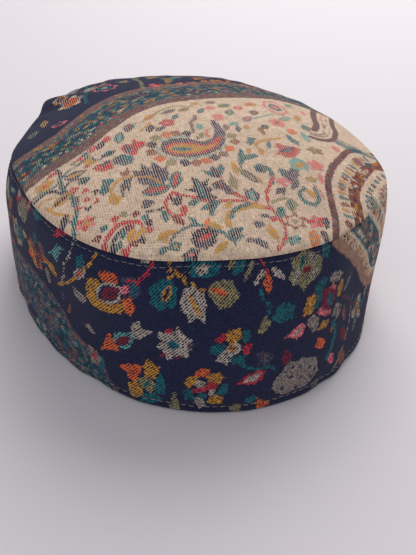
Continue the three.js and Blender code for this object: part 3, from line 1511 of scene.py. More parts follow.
    def build(self, groups: Groups, motifs: Sequence[Motif]) -> bpy.types.Object:
        """Make the band, weave its motifs, close it at the back and dress it.

        Args:
            groups: The shared node groups.
            motifs: What is woven on it, in order.

        Returns:
            The finished band.
        """
        band, cloth, reverse = self.cloth_sheet()
        band.name = "side_band_cloth"
        band.data.name = band.name
        weave_cloth(band, Chart(cloth, Wool.NAVY, self.place), motifs, reverse)
        bpy.ops.object.mode_set(mode="EDIT")
        bpy.ops.mesh.select_all(action="SELECT")
        bpy.ops.mesh.remove_doubles(threshold=self.weld)
        bpy.ops.mesh.normals_make_consistent(inside=False)
        bpy.ops.object.mode_set(mode="OBJECT")
        finish_piece(band, self.finish.material(groups))
        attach(band, "root")
        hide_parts("side_band")
        return band


# The topstitching


@dataclass
class StitchRow:
    """A row of machine topstitches round the band at one height."""

    name: str
    band: SideBand
    height: float
    pitch: float = 2.8
    length: float = 2.05
    thickness: float = 0.26
    seed: int = 3
    sides: int = 8
    cuts: int = 6
    waist: float = 0.45
    proud: float = 0.20
    dip: float = 0.62
    half_step: float = 0.35
    height_spread: float = 0.12
    tilt_spread: float = 0.035
    size_spread: float = 0.05

    def stitch(self) -> bpy.types.Object:
        """Model one stitch along X: a thread that dips into the cloth at both ends.

        Returns:
            The stitch, in millimetres.
        """
        clear_selection()
        bpy.ops.mesh.primitive_cylinder_add(
            vertices=self.sides,
            radius=self.thickness / 2.0,
            depth=self.length,
            rotation=(0.0, math.pi / 2.0, 0.0),
        )
        stitch = active_object()
        bpy.ops.object.transform_apply(location=False, rotation=True, scale=False)
        bpy.ops.object.mode_set(mode="EDIT")
        bpy.ops.mesh.select_mode(type="EDGE")
        bpy.ops.mesh.select_all(action="DESELECT")
        bpy.ops.object.mode_set(mode="OBJECT")
        spots = points_of(stitch)
        for edge in stitch.data.edges:
            first, second = edge.vertices
            edge.select = abs(spots[first][0] - spots[second][0]) > self.length / 2.0
        bpy.ops.object.mode_set(mode="EDIT")
        bpy.ops.mesh.subdivide(number_cuts=self.cuts)
        bpy.ops.object.mode_set(mode="OBJECT")
        spots = points_of(stitch)
        share = np.abs(spots[:, 0]) / (self.length / 2.0)
        spots[:, 1:] *= (1.0 - self.waist * share**3)[:, None]
        spots[:, 2] += self.proud - self.dip * self.thickness * share**2.4
        move_points(stitch, spots)
        return stitch

    def on_cloth(self, angle: np.ndarray, along: np.ndarray, height: np.ndarray) -> np.ndarray:
        """The points on the band's outside at some angles, runs and heights."""
        reach = self.band.form.radius + self.band.slack(along, height)
        return self.band.form.surface(angle, reach, height)

    def turn_at(self, angle: float, along: float, chance: np.random.Generator) -> Matrix:
        """Set one stitch on the cloth, a little uneven.

        Args:
            angle: Its angle round the band.
            along: How far round that is, in millimetres.
            chance: Gives its unevenness.

        Returns:
            The matrix that takes the modelled stitch to its place, in metres.
        """
        around = angle + np.array([-self.half_step, 0.0, self.half_step])
        heights = np.full(3, self.height + chance.normal(0.0, self.height_spread))
        ring = self.on_cloth(around, self.band.arcs(around, heights), heights)
        above = self.on_cloth(around[1:2], np.array([along]), heights[:1] + 1.0)
        ahead = Vector(ring[2] - ring[0]).normalized()
        upward = Vector(above[0] - ring[1]).normalized()
        outward = ahead.cross(upward).normalized()
        ahead = (ahead + upward * chance.normal(0.0, self.tilt_spread)).normalized()
        upward = outward.cross(ahead)
        turn = Matrix((ahead, upward, outward)).transposed().to_4x4()
        turn.translation = Vector(ring[1])
        size = 1.0 + chance.normal(0.0, self.size_spread)
        return Matrix.Scale(MM, 4) @ turn @ Matrix.Scale(size, 4)

    def build(self, material: bpy.types.Material) -> bpy.types.Object:
        """Copy the stitch all round the band and join the row.

        Args:
            material: The thread's material.

        Returns:
            The row of stitches.
        """
        model = self.stitch()
        chance = np.random.default_rng(self.seed)
        steps = self.band.runs[0]
        run = self.band.arcs(steps, np.full_like(steps, self.height))
        total = run[-1] - run[0]
        count = int(total / self.pitch)
        spots = run[0] + (np.arange(count) + 0.5) * total / count
        copies = []
        for along, angle in zip(spots, np.interp(spots, run, steps)):
            copy = bpy.data.objects.new(self.name, model.data.copy())
            bpy.context.collection.objects.link(copy)
            copy.data.transform(self.turn_at(angle, along, chance))
            copies.append(copy)
        row = join_pieces(copies, self.name)
        bpy.data.objects.remove(model)
        finish_piece(row, material)
        row.data.uv_layers[0].name = CLOTH_MAP
        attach(row, "root")
        return row


# The studio


@dataclass(frozen=True)
class PhotoCamera:
    """The camera, at the photo's distance in millimetres and its angles in radians."""

    distance: float = 307.42
    lift: float = 0.53966
    aim_height: float = 40.0
    pitch: float = 0.66748
    pan: float = 0.04556
    roll: float = 0.06526
    yaw: float = 0.40310
    lens: float = 40.757
    sensor: float = 36.0

    def build(self) -> bpy.types.Object:
        """Add the camera and make it the scene's own.

        Returns:
            The camera.
        """
        clear_selection()
        bpy.ops.object.camera_add()
        camera = active_object()
        camera.name = "photo_camera"
        back = self.distance * math.cos(self.lift)
        spot = Vector((0.0, -back, self.aim_height + self.distance * math.sin(self.lift)))
        level = math.cos(self.pitch)
        ahead = Vector(
            (math.sin(self.pan) * level, math.cos(self.pan) * level, -math.sin(self.pitch))
        )
        right = Vector((math.cos(self.pan), -math.sin(self.pan), 0.0))
        up = right.cross(ahead)
        tilted_right = right * math.cos(self.roll) + up * math.sin(self.roll)
        tilted_up = up * math.cos(self.roll) - right * math.sin(self.roll)
        turn = Matrix.Rotation(-self.yaw, 4, "Z")
        axes = Matrix((tilted_right, tilted_up, -ahead)).transposed().to_4x4()
        axes.translation = spot * MM
        camera.matrix_world = turn @ axes
        camera.data.sensor_fit = "AUTO"
        camera.data.sensor_width = self.sensor
        camera.data.lens = self.lens
        camera.data.clip_start = 0.01
        camera.data.clip_end = 50.0
        bpy.context.scene.camera = camera
        return camera


@dataclass(frozen=True)
class SoftBox:
    """A square area light that looks at the cap."""

    name: str
    place: tuple[float, float, float]
    size: float
    power: float
    tint: tuple[float, float, float]
    aim: tuple[float, float, float] = (0.0, 0.0, 0.05)

    def build(self) -> bpy.types.Object:
        """Add the light.

        Returns:
            The light.
        """
        clear_selection()
        bpy.ops.object.light_add(type="AREA", location=self.place)
        light = active_object()
        light.name = self.name
        light.data.size = self.size
        light.data.energy = self.power
        light.data.color = self.tint
        sight = Vector(self.aim) - Vector(self.place)
        light.rotation_euler = sight.to_track_quat("-Z", "Y").to_euler()
        return light


@dataclass
class Studio:
    """The plain pale floor and soft light."""

    lights: tuple[SoftBox, ...] = (
        SoftBox("window_light", (0.55, 0.75, 1.05), 1.1, 15.0, (1.0, 0.97, 0.95)),
        SoftBox("front_fill", (-0.7, -0.9, 0.9), 1.2, 3.4, (0.96, 0.97, 1.0)),
    )
    sky: tuple[float, float, float, float] = (0.92, 0.92, 1.0, 1.0)
    sky_strength: float = 0.40
    floor_size: float = 6.0
    floor_squares: int = 24

    def build(self) -> None:
        """Lay the floor, place the lights and set the sky and the colour view."""
        clear_selection()
        bpy.ops.mesh.primitive_grid_add(
            x_subdivisions=self.floor_squares, y_subdivisions=self.floor_squares, size=self.floor_size
        )
        floor = active_object()
        floor.name = "floor"
        floor.data.uv_layers[0].name = CLOTH_MAP
        finish_piece(floor, FloorFinish().material())
        for light in self.lights:
            light.build()
        world = bpy.data.worlds.new("soft_sky")
        world.use_nodes = True
        backdrop = world.node_tree.nodes["Background"]
        backdrop.inputs["Color"].default_value = self.sky
        backdrop.inputs["Strength"].default_value = self.sky_strength
        bpy.context.scene.world = world
        bpy.context.scene.view_settings.view_transform = "Standard"


# What is woven on the crown, by millimetres to the left and back of its middle

NAVY, CREAM, PALE, TEAL, SEA = Wool.NAVY, Wool.CREAM, Wool.PALE, Wool.TEAL, Wool.SEA
MUSTARD, ORANGE, RED, MAROON = Wool.MUSTARD, Wool.ORANGE, Wool.RED, Wool.MAROON
PINK, OLIVE, MAUVE, SLATE = Wool.PINK, Wool.OLIVE, Wool.MAUVE, Wool.SLATE
RUST, STONE, TAN = Wool.RUST, Wool.STONE, Wool.TAN

FIELD_EDGE: tuple[Pair, ...] = (
    (-92, -23), (-79, -20), (-64.6, -16.4), (-57.6, -15), (-49.3, -12.9), (-43.8, -10.1),
    (-39.6, -7), (-35.4, -4.6), (-30.6, -1.1), (-26.4, 1.7), (-19.4, 4.4), (-12.5, 5.8),
    (5, 6.5), (30, 6), (60, 3), (92, -4),
)
DROP_EDGE: tuple[Pair, ...] = (
    (64, -38), (57.5, -39.9), (54, -41.9), (47.1, -47.5), (40.1, -53.1), (36, -57.2),
    (32.5, -61.4), (29.7, -66.9), (26.9, -74.6), (24.9, -80.8), (21.7, -87.1), (19, -95),
)
BACK_DROP_EDGE: tuple[Pair, ...] = (
    (78, 24), (68.2, 9.4), (64.4, 3.3), (61, -2), (57.6, -7.3), (55, -12), (52.6, -18), (48, -24),
)

CROWN_STRIPS: tuple[Motif, ...] = (
    Strip(FIELD_EDGE, 0.0, 5.8, MAUVE),
    Specks(FIELD_EDGE, 0.6, 5.2, (1.9, 1.2), (STONE, RUST, MAUVE, MAROON, OLIVE), 0.8, 3),
    Strip(FIELD_EDGE, 5.8, 20.5, TEAL),
    Specks(FIELD_EDGE, 5.8, 9.0, (2.1, 1.6), (MAROON, CREAM, RED, MUSTARD, NAVY, RUST), 0.95, 4),
    Specks(FIELD_EDGE, 9.0, 20.5, (1.8, 1.4),
        (NAVY, STONE, NAVY, RUST, SLATE, NAVY, OLIVE, NAVY, MUSTARD, NAVY, MAROON), 1.4, 5),
    Strip(FIELD_EDGE, 20.5, 25.5, MAUVE),
    Specks(FIELD_EDGE, 20.0, 25.5, (2.2, 1.6), (RUST, STONE, MAUVE, MUSTARD, TEAL, MAUVE), 0.9, 6),
    Strip(FIELD_EDGE, 25.5, 300.0, NAVY),
)

CROWN_BACK: tuple[Motif, ...] = (
    Leaf(-59.4, 33, 12, 4, 80, MUSTARD, OLIVE), Leaf(-66, 25, 8, 5, 70, OLIVE, TEAL),
    Bloom(-55, 20, 8, 6, (PINK,), ((0.5, NAVY),), 0, 5),
    Bloom(-44.4, 42, 13, 15, (STONE, CREAM), ((0.6, ORANGE), (0.25, MUSTARD)), 0, 6),
    Bloom(-27, 45, 14, 15, (PINK,), ((0.72, NAVY), (0.55, TEAL), (0.2, CREAM)), 0, 7),
    Stem("-39.6 31 -37 42 -33 52 -32 62", 1.8, TEAL), Stem("-12 32 -9 44 -8 58 -2 68", 2.0, OLIVE),
    Bloom(-5.6, 33, 8, 8, (RED, PINK), ((0.3, MUSTARD),), 0, 4),
    Leaf(3, 38, 9, 4, 60, OLIVE, MUSTARD), Leaf(9, 46, 10, 5, 30, TEAL, SEA),
    Garden(((-46, 52), (46, 76)), 15.0, NAVY, 11), Garden(((-2, 30), (66, 50)), 15.0, NAVY, 17),
)

CROWN_PAISLEY: tuple[Motif, ...] = (
    Shape("-25.6 -30.5 -24.6 -27 -22.4 -25.2 -19 -24.8 -15 -25.4 -12.4 -26.4 -10.6 -28.6 -8 -30.4 "
          "-5.6 -30.2 -3 -29 -0.6 -26.4 0.8 -22.6 1.4 -18 2.4 -14.6 4.2 -17 4.4 -22 4 -27 2.4 -31 "
          "0 -34.6 -3.4 -38 -8 -39.4 -13 -39.8 -18 -39 -22 -37 -24.8 -34.2", SLATE),
    Shape("-24 -31 -22.6 -28.8 -20 -27.8 -16 -28.6 -12.4 -29.6 -10 -31.6 -7.4 -32.6 -5 -32 "
          "-2.4 -30.4 0.4 -28 1 -29.4 -0.4 -32.4 -3.6 -35.6 -8 -37.4 -12.4 -38 -17 -37.4 -21 -35.6 "
          "-23.4 -33.4", RED),
    Shape("-22.8 -31 -21.4 -29.6 -19 -29.2 -15.4 -30 -12.4 -31 -10 -33 -7.4 -34.2 -4.6 -33.6 "
          "-2 -32.4 -4.4 -35 -8 -36.2 -12.4 -36.8 -17 -36.2 -20.8 -34.4", MUSTARD),
    Shape("-22 -31.6 -20 -31 -17 -31.6 -14.2 -32.8 -12.6 -34 -15 -34.6 -18 -34.2 -20.6 -33", TEAL),
    Stem("-26.4 -27.6 -26.8 -32.4 -24.6 -36.4 -20 -39.4 -13.6 -40.6 -5.6 -39.8 "
         "0.4 -35.8", 0.7, SEA), Stem("-26 -26.6 -23.4 -24.4 -17 -24 -11.6 -25.4", 0.7, SEA),
    Stem("-3.9 -27.8 -3.8 -25 -2.4 -22.8", 1.3, ORANGE), Leaf(-6.2, -25.8, 5, 3, 60, OLIVE),
    Leaf(-8.6, -27, 3.4, 1.6, 70, TEAL),
    Shape("-6.6 -20 -5 -16.6 -3 -17.2 -2.8 -20.4 -5 -21.8", SEA),
    Stem("-8.4 -22.4 -7.4 -18.6 -6.4 -14.6 -4 -12.8 -2.8 -10", 1.8, MAUVE),
    Leaf(6.2, -22.8, 5.6, 3, 70, MAUVE), Leaf(10.6, -25.6, 6, 2.8, 70, SLATE),
    Leaf(11.6, -21.6, 4, 2, 60, SEA),
    Scatter(5.4, ((-27.6, -26, NAVY), (-29.4, -30.5, RUST), (-27.9, -35.6, ORANGE),
        (-24.6, -39.9, OLIVE), (-19.6, -41.9, NAVY), (-15.6, -43.4, RUST), (-11.4, -43.6, ORANGE),
        (-7.6, -42.4, NAVY), (-3.4, -41.4, MAUVE), (-24.8, -22, OLIVE), (-20, -21.2, ORANGE),
        (-16, -21.6, RUST), (-11.4, -23, NAVY), (0.6, -38.6, ORANGE), (4.8, -34.6, RUST),
        (5.4, -30, OLIVE), (6.4, -14.4, PINK))),
)

CROWN_LEFT: tuple[Motif, ...] = (
    Bloom(-16.2, -12.4, 8, 7.5, (RED,), ((0.3, PINK),), 20, 5, 0.25),
    Leaf(-24.2, -14, 7, 4, 60, NAVY, SLATE), Leaf(-20.6, -16, 6, 3, 20, SLATE),
    Stem("-28.4 -14 -25.8 -12.2 -22.6 -9", 1.2, MUSTARD), Leaf(-37.6, -14.4, 9, 5, 70, TEAL, SEA),
    Leaf(-31.8, -8.6, 8, 5, 65, TEAL, MAROON), Leaf(-42.4, -12.4, 5, 4, 60, RED),
    Leaf(-45.8, -14.6, 6, 4, 50, NAVY, SLATE), Leaf(-49.2, -14.6, 5.5, 4, 70, RED, PINK),
    Leaf(-52.6, -16.2, 4, 3, 40, TEAL),
    Scatter(3.4, ((-55, -17.4, RED), (-54.2, -24.4, RED), (-57.8, -18.2, OLIVE))),
    Shape("-37.4 -19.6 -35 -21 -33 -18.2 -31.8 -21 -29.4 -22 -29.8 -25 -33 -26.2 -34.8 -29 -37 -29 "
          "-38.8 -25.4 -39.8 -22.2", RED), Leaf(-37, -23.8, 7, 3.2, 80, SLATE),
    Shape("-43 -25.8 -40 -25.8 -38.6 -27.6 -36.4 -29.4 -37 -31.8 -39 -34 -42 -33.2 -44.6 -30.4 "
          "-44.6 -27.4", TEAL), Leaf(-42.2, -29.2, 6, 3.4, 80, SLATE),
    Shape("-52.8 -27.6 -50 -26.4 -47.6 -26.8 -45 -26 -45.2 -32.6 -49.6 -32.8 -51.8 -30.4", RED),
    Leaf(-47.6, -27.8, 5, 3, 30, SLATE), Leaf(-44.4, -22.4, 6.6, 3.8, 10, TEAL, NAVY),
    Stem("-51 -19.4 -50.4 -22.6 -48 -23.8 -46.6 -21", 0.9, SLATE),
    Shape("-54 -18 -50.8 -17 -51.6 -21 -50 -24.8 -52.8 -24.8 -54.2 -21.6", MUSTARD),
    Stem("-63.7 -23.6 -60.2 -21.4 -56.2 -20.6 -52 -18.6", 1.6, TEAL),
    Stem("-64.4 -22 -65.4 -27 -65.4 -32 -63.9 -38 -64 -45.9 -66.2 -50 -67.4 -55", 2.1, TEAL),
    Leaf(-64.4, -19.4, 9, 2.4, 95, NAVY), Leaf(-67, -19, 5, 3.2, 20, RED),
    Leaf(-59.6, -26.4, 9.4, 5.6, -8, SLATE, MUSTARD),
    Stem("-65 -31 -61.6 -29.4 -58 -30.6", 1.5, SLATE),
    Bloom(-57.4, -32.6, 6, 5.4, (TEAL,), ((0.5, NAVY),), 0, 4, 0.2),
    Stem("-76 -28.8 -72 -28.4 -68.8 -30 -66.6 -33", 1.8, NAVY),
    Stem("-78 -27 -74 -26.6 -69 -27.6 -65.6 -26.6", 1.5, TEAL),
    Bloom(-62.4, -34.9, 5, 5, (RED,), ((0.3, PINK),), 0, 4),
    Bloom(-71, -23.4, 9, 8, (MUSTARD,), ((0.25, RED),), 0, 5),
    Leaf(-67.2, -36.4, 9, 5, 15, MUSTARD, NAVY),
    Stem("-73.6 -36 -71.6 -40 -69.4 -43.6 -66.8 -46", 1.2, MUSTARD),
    Stem("-75.6 -33 -73.6 -31.8 -70.6 -33", 1.0, MUSTARD), Leaf(-69, -47.6, 6.5, 4, 60, NAVY),
    Bloom(-59.2, -43, 11, 12.5, (NAVY, RED), ((0.66, CREAM), (0.24, RED)), 20, 6, 0.5),
    Bloom(-62.4, -53, 9, 7.4, (RED, PINK), ((0.34, MUSTARD),), 10, 6, 0.4),
    Shape("-51.6 -37.2 -48 -38.2 -47.2 -40.6 -49.8 -41.4 -50.6 -44.4 -53.4 -45.2 -54.6 -43 "
          "-53 -41", TEAL),
    Shape("-49.6 -46 -48.2 -48.8 -49.4 -51.8 -51.4 -51.6 -52.8 -49 -51.6 -46.6", MUSTARD),
    Stem("-50.8 -47 -49.6 -43.8 -46.4 -41 -42 -41 -38.6 -42.4 -35 -44.2 -33 -47 "
         "-32.2 -50", 1.3, MUSTARD),
    Shape("-44.6 -34.6 -43.4 -37.2 -42.6 -37 -41 -35.2 -40.8 -38.6 -42.4 -40.6 -44.6 -39.8", RUST),
    Shape("-40.6 -41.4 -44.6 -41.8 -46.8 -44.6 -47.8 -49.6 -46.6 -49.4 -45.2 -45.8 -44.6 -48.8 "
          "-43.6 -47.6 -42.6 -44.6", SLATE),
    Shape("-40.2 -37.2 -38.6 -38.4 -37 -41 -35.6 -34 -34.4 -38.6 -33.4 -41.6 -31.4 -35.4 -30 -39.4 "
          "-29.2 -41.8 -26.8 -40.8 -27.6 -45 -29.4 -48.2 -31.4 -50.4 -34.6 -48.4 -38.8 -48 "
          "-39.8 -44.6", SLATE), Leaf(-36.6, -42, 9, 2, 80, NAVY),
    Leaf(-31.6, -43, 10, 2, 95, NAVY),
    Stem("-39 -42.6 -35.4 -44.4 -33.2 -47.4 -32.2 -50.4", 1.0, MUSTARD),
    Leaf(-35, -51.6, 11.4, 6, -9, TEAL, RED), Leaf(-26.6, -49.6, 10, 5.4, 60, TEAL, RED),
    Shape("-42 -54.6 -40 -53.6 -37.4 -56.4 -39.6 -58.4 -42.6 -58.2", SLATE),
    Stem("-41.6 -59.4 -38.7 -60.6 -35 -60.6", 1.0, NAVY),
)

CROWN_FRONT: tuple[Motif, ...] = (
    Stem("-60.6 -68 -58.6 -64.6 -55.6 -61.8 -51.5 -60.4 -47 -61.6", 2.2, RED),
    Stem("-57.4 -69 -56 -66 -52.8 -63.4 -48.6 -63.2", 1.9, NAVY),
    Stem("-46.4 -61 -44.8 -64 -45 -68", 1.2, RED),
    Scatter(4.0, ((-60.6, -61.4, MAROON), (-57.2, -58.8, TEAL), (-52.6, -57.2, RED),
        (-49.4, -56.8, OLIVE), (-45.6, -58.8, MAROON), (-42.9, -62, TEAL), (-42.6, -64.6, NAVY),
        (-43.4, -67.6, RED), (-49, -63.8, MAROON), (-52.4, -65, TEAL), (-50, -70, MAROON),
        (-55, -68.2, TEAL), (-46.6, -70.2, NAVY), (-53.6, -71.6, RED), (-45.6, -67, MUSTARD))),
    Bloom(-49.2, -67, 6.6, 6, (MUSTARD,), ((0.3, ORANGE),), 0, 5),
    Stem("-29.8 -55.4 -33.6 -58.4 -34.6 -62.4 -33 -66 -30 -66.8 -28.6 -64.6", 1.5, RED),
    Bloom(-29.2, -64.4, 4.4, 4.4, (RED,), (), 0, 5), Leaf(-32.8, -68.6, 8, 2.8, -60, MAROON),
    Leaf(-31, -59.4, 6.4, 2.6, 100, NAVY), Leaf(-28.8, -59, 6.4, 2.6, 80, NAVY),
    Stem("-29.8 -55.6 -24.6 -60.4 -20.7 -63.7 -15.6 -65.3 -9.2 -66.7 -4.7 -68.3 -0.8 -70.6 "
         "2.6 -73", 1.3, RED), Leaf(-36.4, -64.4, 6.6, 3, 80, TEAL),
    Leaf(-24.6, -63, 6, 3.6, 20, TEAL),
    Shape("-20.3 -50.2 -18.8 -54.8 -15 -53.8 -17 -57.4 -15.4 -59.2 -17.2 -60.4 -15.6 -63.6 "
          "-18.6 -64.4 -22.8 -61.8 -22 -59.2 -25.6 -56 -22.2 -56.2 -21.8 -53.2", NAVY),
    Leaf(-19.8, -58, 11, 2.4, 90, TEAL),
    Shape("-24 -67.2 -20.6 -64.8 -18 -64.4 -14.8 -65.4 -17.4 -67.8 -19 -69.2 -20.2 -71.4 -22 -71.2 "
          "-20.8 -68.4", TEAL), Leaf(-19.6, -67, 6, 2.4, 60, NAVY),
    Shape("-16 -47.8 -13.4 -49.8 -11 -47.4 -9.8 -49.6 -6.6 -46.4 -6.8 -50.4 -9 -53.4 -11.2 -54.8 "
          "-13.6 -53.6 -15.2 -51", TEAL), Leaf(-11.2, -51.6, 6, 3.4, 90, NAVY),
    Stem("-11 -54.6 -10.4 -58 -9 -62.6", 0.9, RED),
    Shape("-15 -56.8 -12.6 -56 -10.4 -55.8 -9.6 -59 -8.2 -61.6 -9.4 -63.8 -11.4 -63.2 -12.6 -60.4 "
          "-15.2 -60.2", SLATE), Leaf(-12.2, -58.4, 6, 2, 110, MAROON),
    Shape("-8.8 -57.8 -7.2 -55.8 -6 -53.2 -4.4 -57.6 -5.6 -60.4 -6.8 -62.4 -8.6 -60.6", OLIVE),
    Leaf(-8, -63.8, 4, 2.6, 120, RED), Stem("-8 -64 -6.6 -65.4 -5.2 -66.8", 1.2, RED),
    Shape("-5 -65 -3.6 -61.2 -2.2 -63.2 -0.8 -61.6 0.8 -65.6 -0.4 -69 -2.6 -68.2 -4.2 -67", SLATE),
    Leaf(-2.2, -65.4, 6, 2, 90, SEA), Leaf(-2.8, -51.2, 9, 2.6, 80, MUSTARD),
    Leaf(0.8, -56, 10, 4.2, -60, SLATE, OLIVE), Leaf(-1.4, -52.6, 5, 2.4, -60, OLIVE),
    Leaf(4.2, -59, 7, 2, -70, MUSTARD),
    Stem("-16.6 -76.4 -15 -72.6 -11 -70.4 -5.6 -69.8 -1 -70.8", 2.4, MUSTARD),
    Stem("-14.4 -73.2 -10.6 -70 -4.6 -68.8", 1.9, TEAL), Leaf(-12.6, -67.6, 5, 3, 40, MUSTARD),
    Shape("-43 -73.6 -40.6 -71.2 -37.6 -70.8 -34.6 -72.4 -38 -73.6 -39.4 -75.4", MUSTARD),
    Stem("-39.4 -78 -37.6 -74.8 -33.6 -73 -28.4 -73.2 -23.9 -75.2 -20 -79.2", 1.3, TEAL),
    Bloom(-37.3, -77.7, 5, 4.6, (TEAL,), ((0.3, MUSTARD),), 0, 5),
    Shape("-29 -68.6 -27 -71 -26.8 -74.4 -28.4 -74 -29 -71.4", TEAL),
    Stem("-24.8 -74.8 -23.6 -73 -22.6 -72.2", 1.2, ORANGE), Leaf(-21.6, -75.4, 6, 3, -40, MUSTARD),
    Leaf(-42, -77.6, 5, 3, 10, TEAL),
    Shape("-30 -75.6 -26.6 -74.8 -22.8 -76.2 -21.8 -79 -23.6 -82 -28 -83 -31.4 -81.4 "
          "-32 -78.4", NAVY), Leaf(-26.6, -78.8, 7, 2.4, 8, RED), Leaf(-27, -81, 6, 2, 10, SLATE),
    Shape("-18 -78.8 -16 -77.8 -11.4 -78.2 -13.6 -80.8 -11.6 -81.4 -15.6 -83 -17.6 -85 -19 -82.4 "
          "-20 -80.4", TEAL), Leaf(-15.6, -80.4, 6, 2.2, 30, NAVY),
    Leaf(-22.6, -84, 7, 3, 20, MUSTARD),
    Shape("-13.8 -83.4 -11 -82.4 -7.4 -83.6 -5.2 -86 -5.4 -88.4 -8 -86.6 -10.4 -84.8", SLATE),
    Shape("-7.6 -77.4 -5.6 -76.4 -3 -77.4 -3.6 -79.4 -6.6 -79.6", SLATE),
    Leaf(-1.4, -75, 5, 2, -20, SLATE), Stem("-1.4 -79 -0.4 -82.6 -0.6 -86", 1.2, MUSTARD),
    Leaf(-1.8, -82.8, 8, 2.6, 115, MUSTARD),
    Bloom(-33.6, -83, 8, 5, (NAVY, TEAL), ((0.3, PINK),), 0, 5),
)

CROWN_RIGHT: tuple[Motif, ...] = (
    Leaf(6.8, -12.6, 6, 4.6, 20, PINK), Leaf(14.8, -24.8, 5, 3, 60, MUSTARD),
    Leaf(10.8, -20.6, 6, 3, 30, SEA), Leaf(20, -28.6, 8, 3, 85, RUST),
    Leaf(23.1, -25.6, 5, 4, 40, NAVY, SLATE),
    Bloom(31, -22.4, 8.5, 9, (PINK,), ((0.3, MAUVE),), 0, 5), Leaf(34.2, -30, 5.5, 5, 60, ORANGE),
    Shape("11.6 -32.6 15.6 -34.4 13 -35.8 12 -38 9 -39 9.6 -37.4 7 -36.6 10.2 -35.4", TEAL),
    Stem("12 -39.6 14 -36.8 19 -35.8 25.6 -35.2", 1.5, MUSTARD),
    Shape("12.6 -40.2 14.4 -42.6 12.8 -45.6 10.8 -45 11.4 -42.4", MUSTARD),
    Leaf(7.4, -42, 5, 2.6, 60, MUSTARD), Leaf(18, -39.2, 6.6, 2.6, 60, TEAL),
    Shape("30.2 -31 31.4 -34.6 33 -38 31.6 -41 29 -38.6 28.8 -34.6", TEAL),
    Shape("4.8 -39 5.2 -41.8 4.4 -44.2 8.8 -44 10.4 -45.6 6.8 -47 3.8 -47 1.2 -49.8 -0.4 -51.4 "
          "0.2 -47.4 1.4 -44 3 -41.4", TEAL),
    Shape("20.4 -39.6 23 -38.4 24.2 -40.4 28.4 -41.8 31 -43.8 28.6 -46.2 25 -48.6 21.2 -48.6 "
          "19.8 -46 16.2 -47.2 19.4 -44.2 21 -42.6", RED), Leaf(24.2, -43.6, 8, 3.4, 14, SLATE),
    Bloom(37.4, -44.4, 9.5, 7, (RUST, OLIVE), (), 20, 5, 0.5), Leaf(38.8, -34, 9, 4, 85, SEA),
    Leaf(46.4, -32, 9, 3.6, 90, SEA, TEAL), Leaf(50.2, -41.3, 6, 4.4, 70, PINK),
    Bloom(7.6, -53, 6.6, 6, (TEAL,), ((0.5, NAVY),), 0, 5, 0.1),
    Stem("9.8 -52.6 10.8 -55 10.2 -57.6 8.6 -60.6", 2.2, TEAL),
    Shape("21 -51 24.4 -48.4 27.6 -50.4 29.2 -53.4 27 -57.6 25.6 -55.8 22.6 -56.4 20.6 -54.6", SEA),
    Leaf(24.8, -53.6, 6, 3, 10, MUSTARD),
    Shape("14.2 -54.6 16.6 -54 17.6 -56.2 20 -54.2 22.8 -55.8 22 -58.6 20.4 -60.6 19.8 -63.2 "
          "18 -65.2 15.2 -65 16.2 -60.6 14.2 -57.4", SLATE), Leaf(15.4, -56, 5, 2.4, 100, TEAL),
    Leaf(12.8, -60.4, 6, 3, 10, PINK), Bloom(32.2, -54.2, 8.5, 8, (PINK,), ((0.3, ORANGE),), 0, 5),
    Stem("16 -61.6 13.6 -59.8 12.4 -61.6 13.8 -63", 1.3, PINK),
    Stem("10.4 -58.2 7.8 -60.9 4.4 -64.9 2.9 -68.3 2.7 -72.5 3.9 -76.7 3.9 -81.5 2.2 -85.2 "
         "-2.6 -88.8", 1.4, RED), Leaf(10.3, -65.2, 6, 3.4, 20, NAVY, SLATE),
    Stem("4.2 -69.9 8.2 -68.7 12.4 -70 13.6 -73", 1.2, OLIVE),
    Leaf(11, -72.4, 7, 4.6, 80, OLIVE, TEAL), Leaf(5.6, -74.6, 6, 4.4, 50, TEAL),
    Stem("20.4 -65.6 17.6 -67.4 17.2 -70.6 19.4 -73.2 22.6 -73 24.6 -70 24.8 -66.2", 1.8, TEAL),
    Shape("19.8 -66.4 21.4 -65.6 22.4 -67.8 23.6 -68.4 22.8 -71.4 21 -69.6", MUSTARD),
    Stem("26.4 -71.4 26.6 -68 25.6 -64.6", 1.2, PINK),
    Bloom(9.2, -79.4, 11, 8.6, (RUST,), ((0.55, CREAM), (0.3, OLIVE)), 10, 6, 0.5),
    Bloom(17.6, -80.8, 9.5, 6.4, (RED, PINK), (), 15, 5, 0.4),
    Leaf(13.6, -86.6, 7, 5, 60, ORANGE, MUSTARD), Leaf(21.6, -81.8, 6, 3.4, 60, NAVY),
    Leaf(18.4, -86.8, 6, 3.4, 100, NAVY, SLATE),
    Bloom(5.2, -86.4, 8, 4.6, (TEAL, SEA), (), 0, 6, 0.4),
    Bloom(25.8, -61.6, 6.6, 4.6, (OLIVE, MUSTARD), (), 0, 5), Leaf(1.4, -76.9, 3.4, 3, 0, RED),
    Leaf(30.4, -61.2, 6, 3, 75, PINK),
)

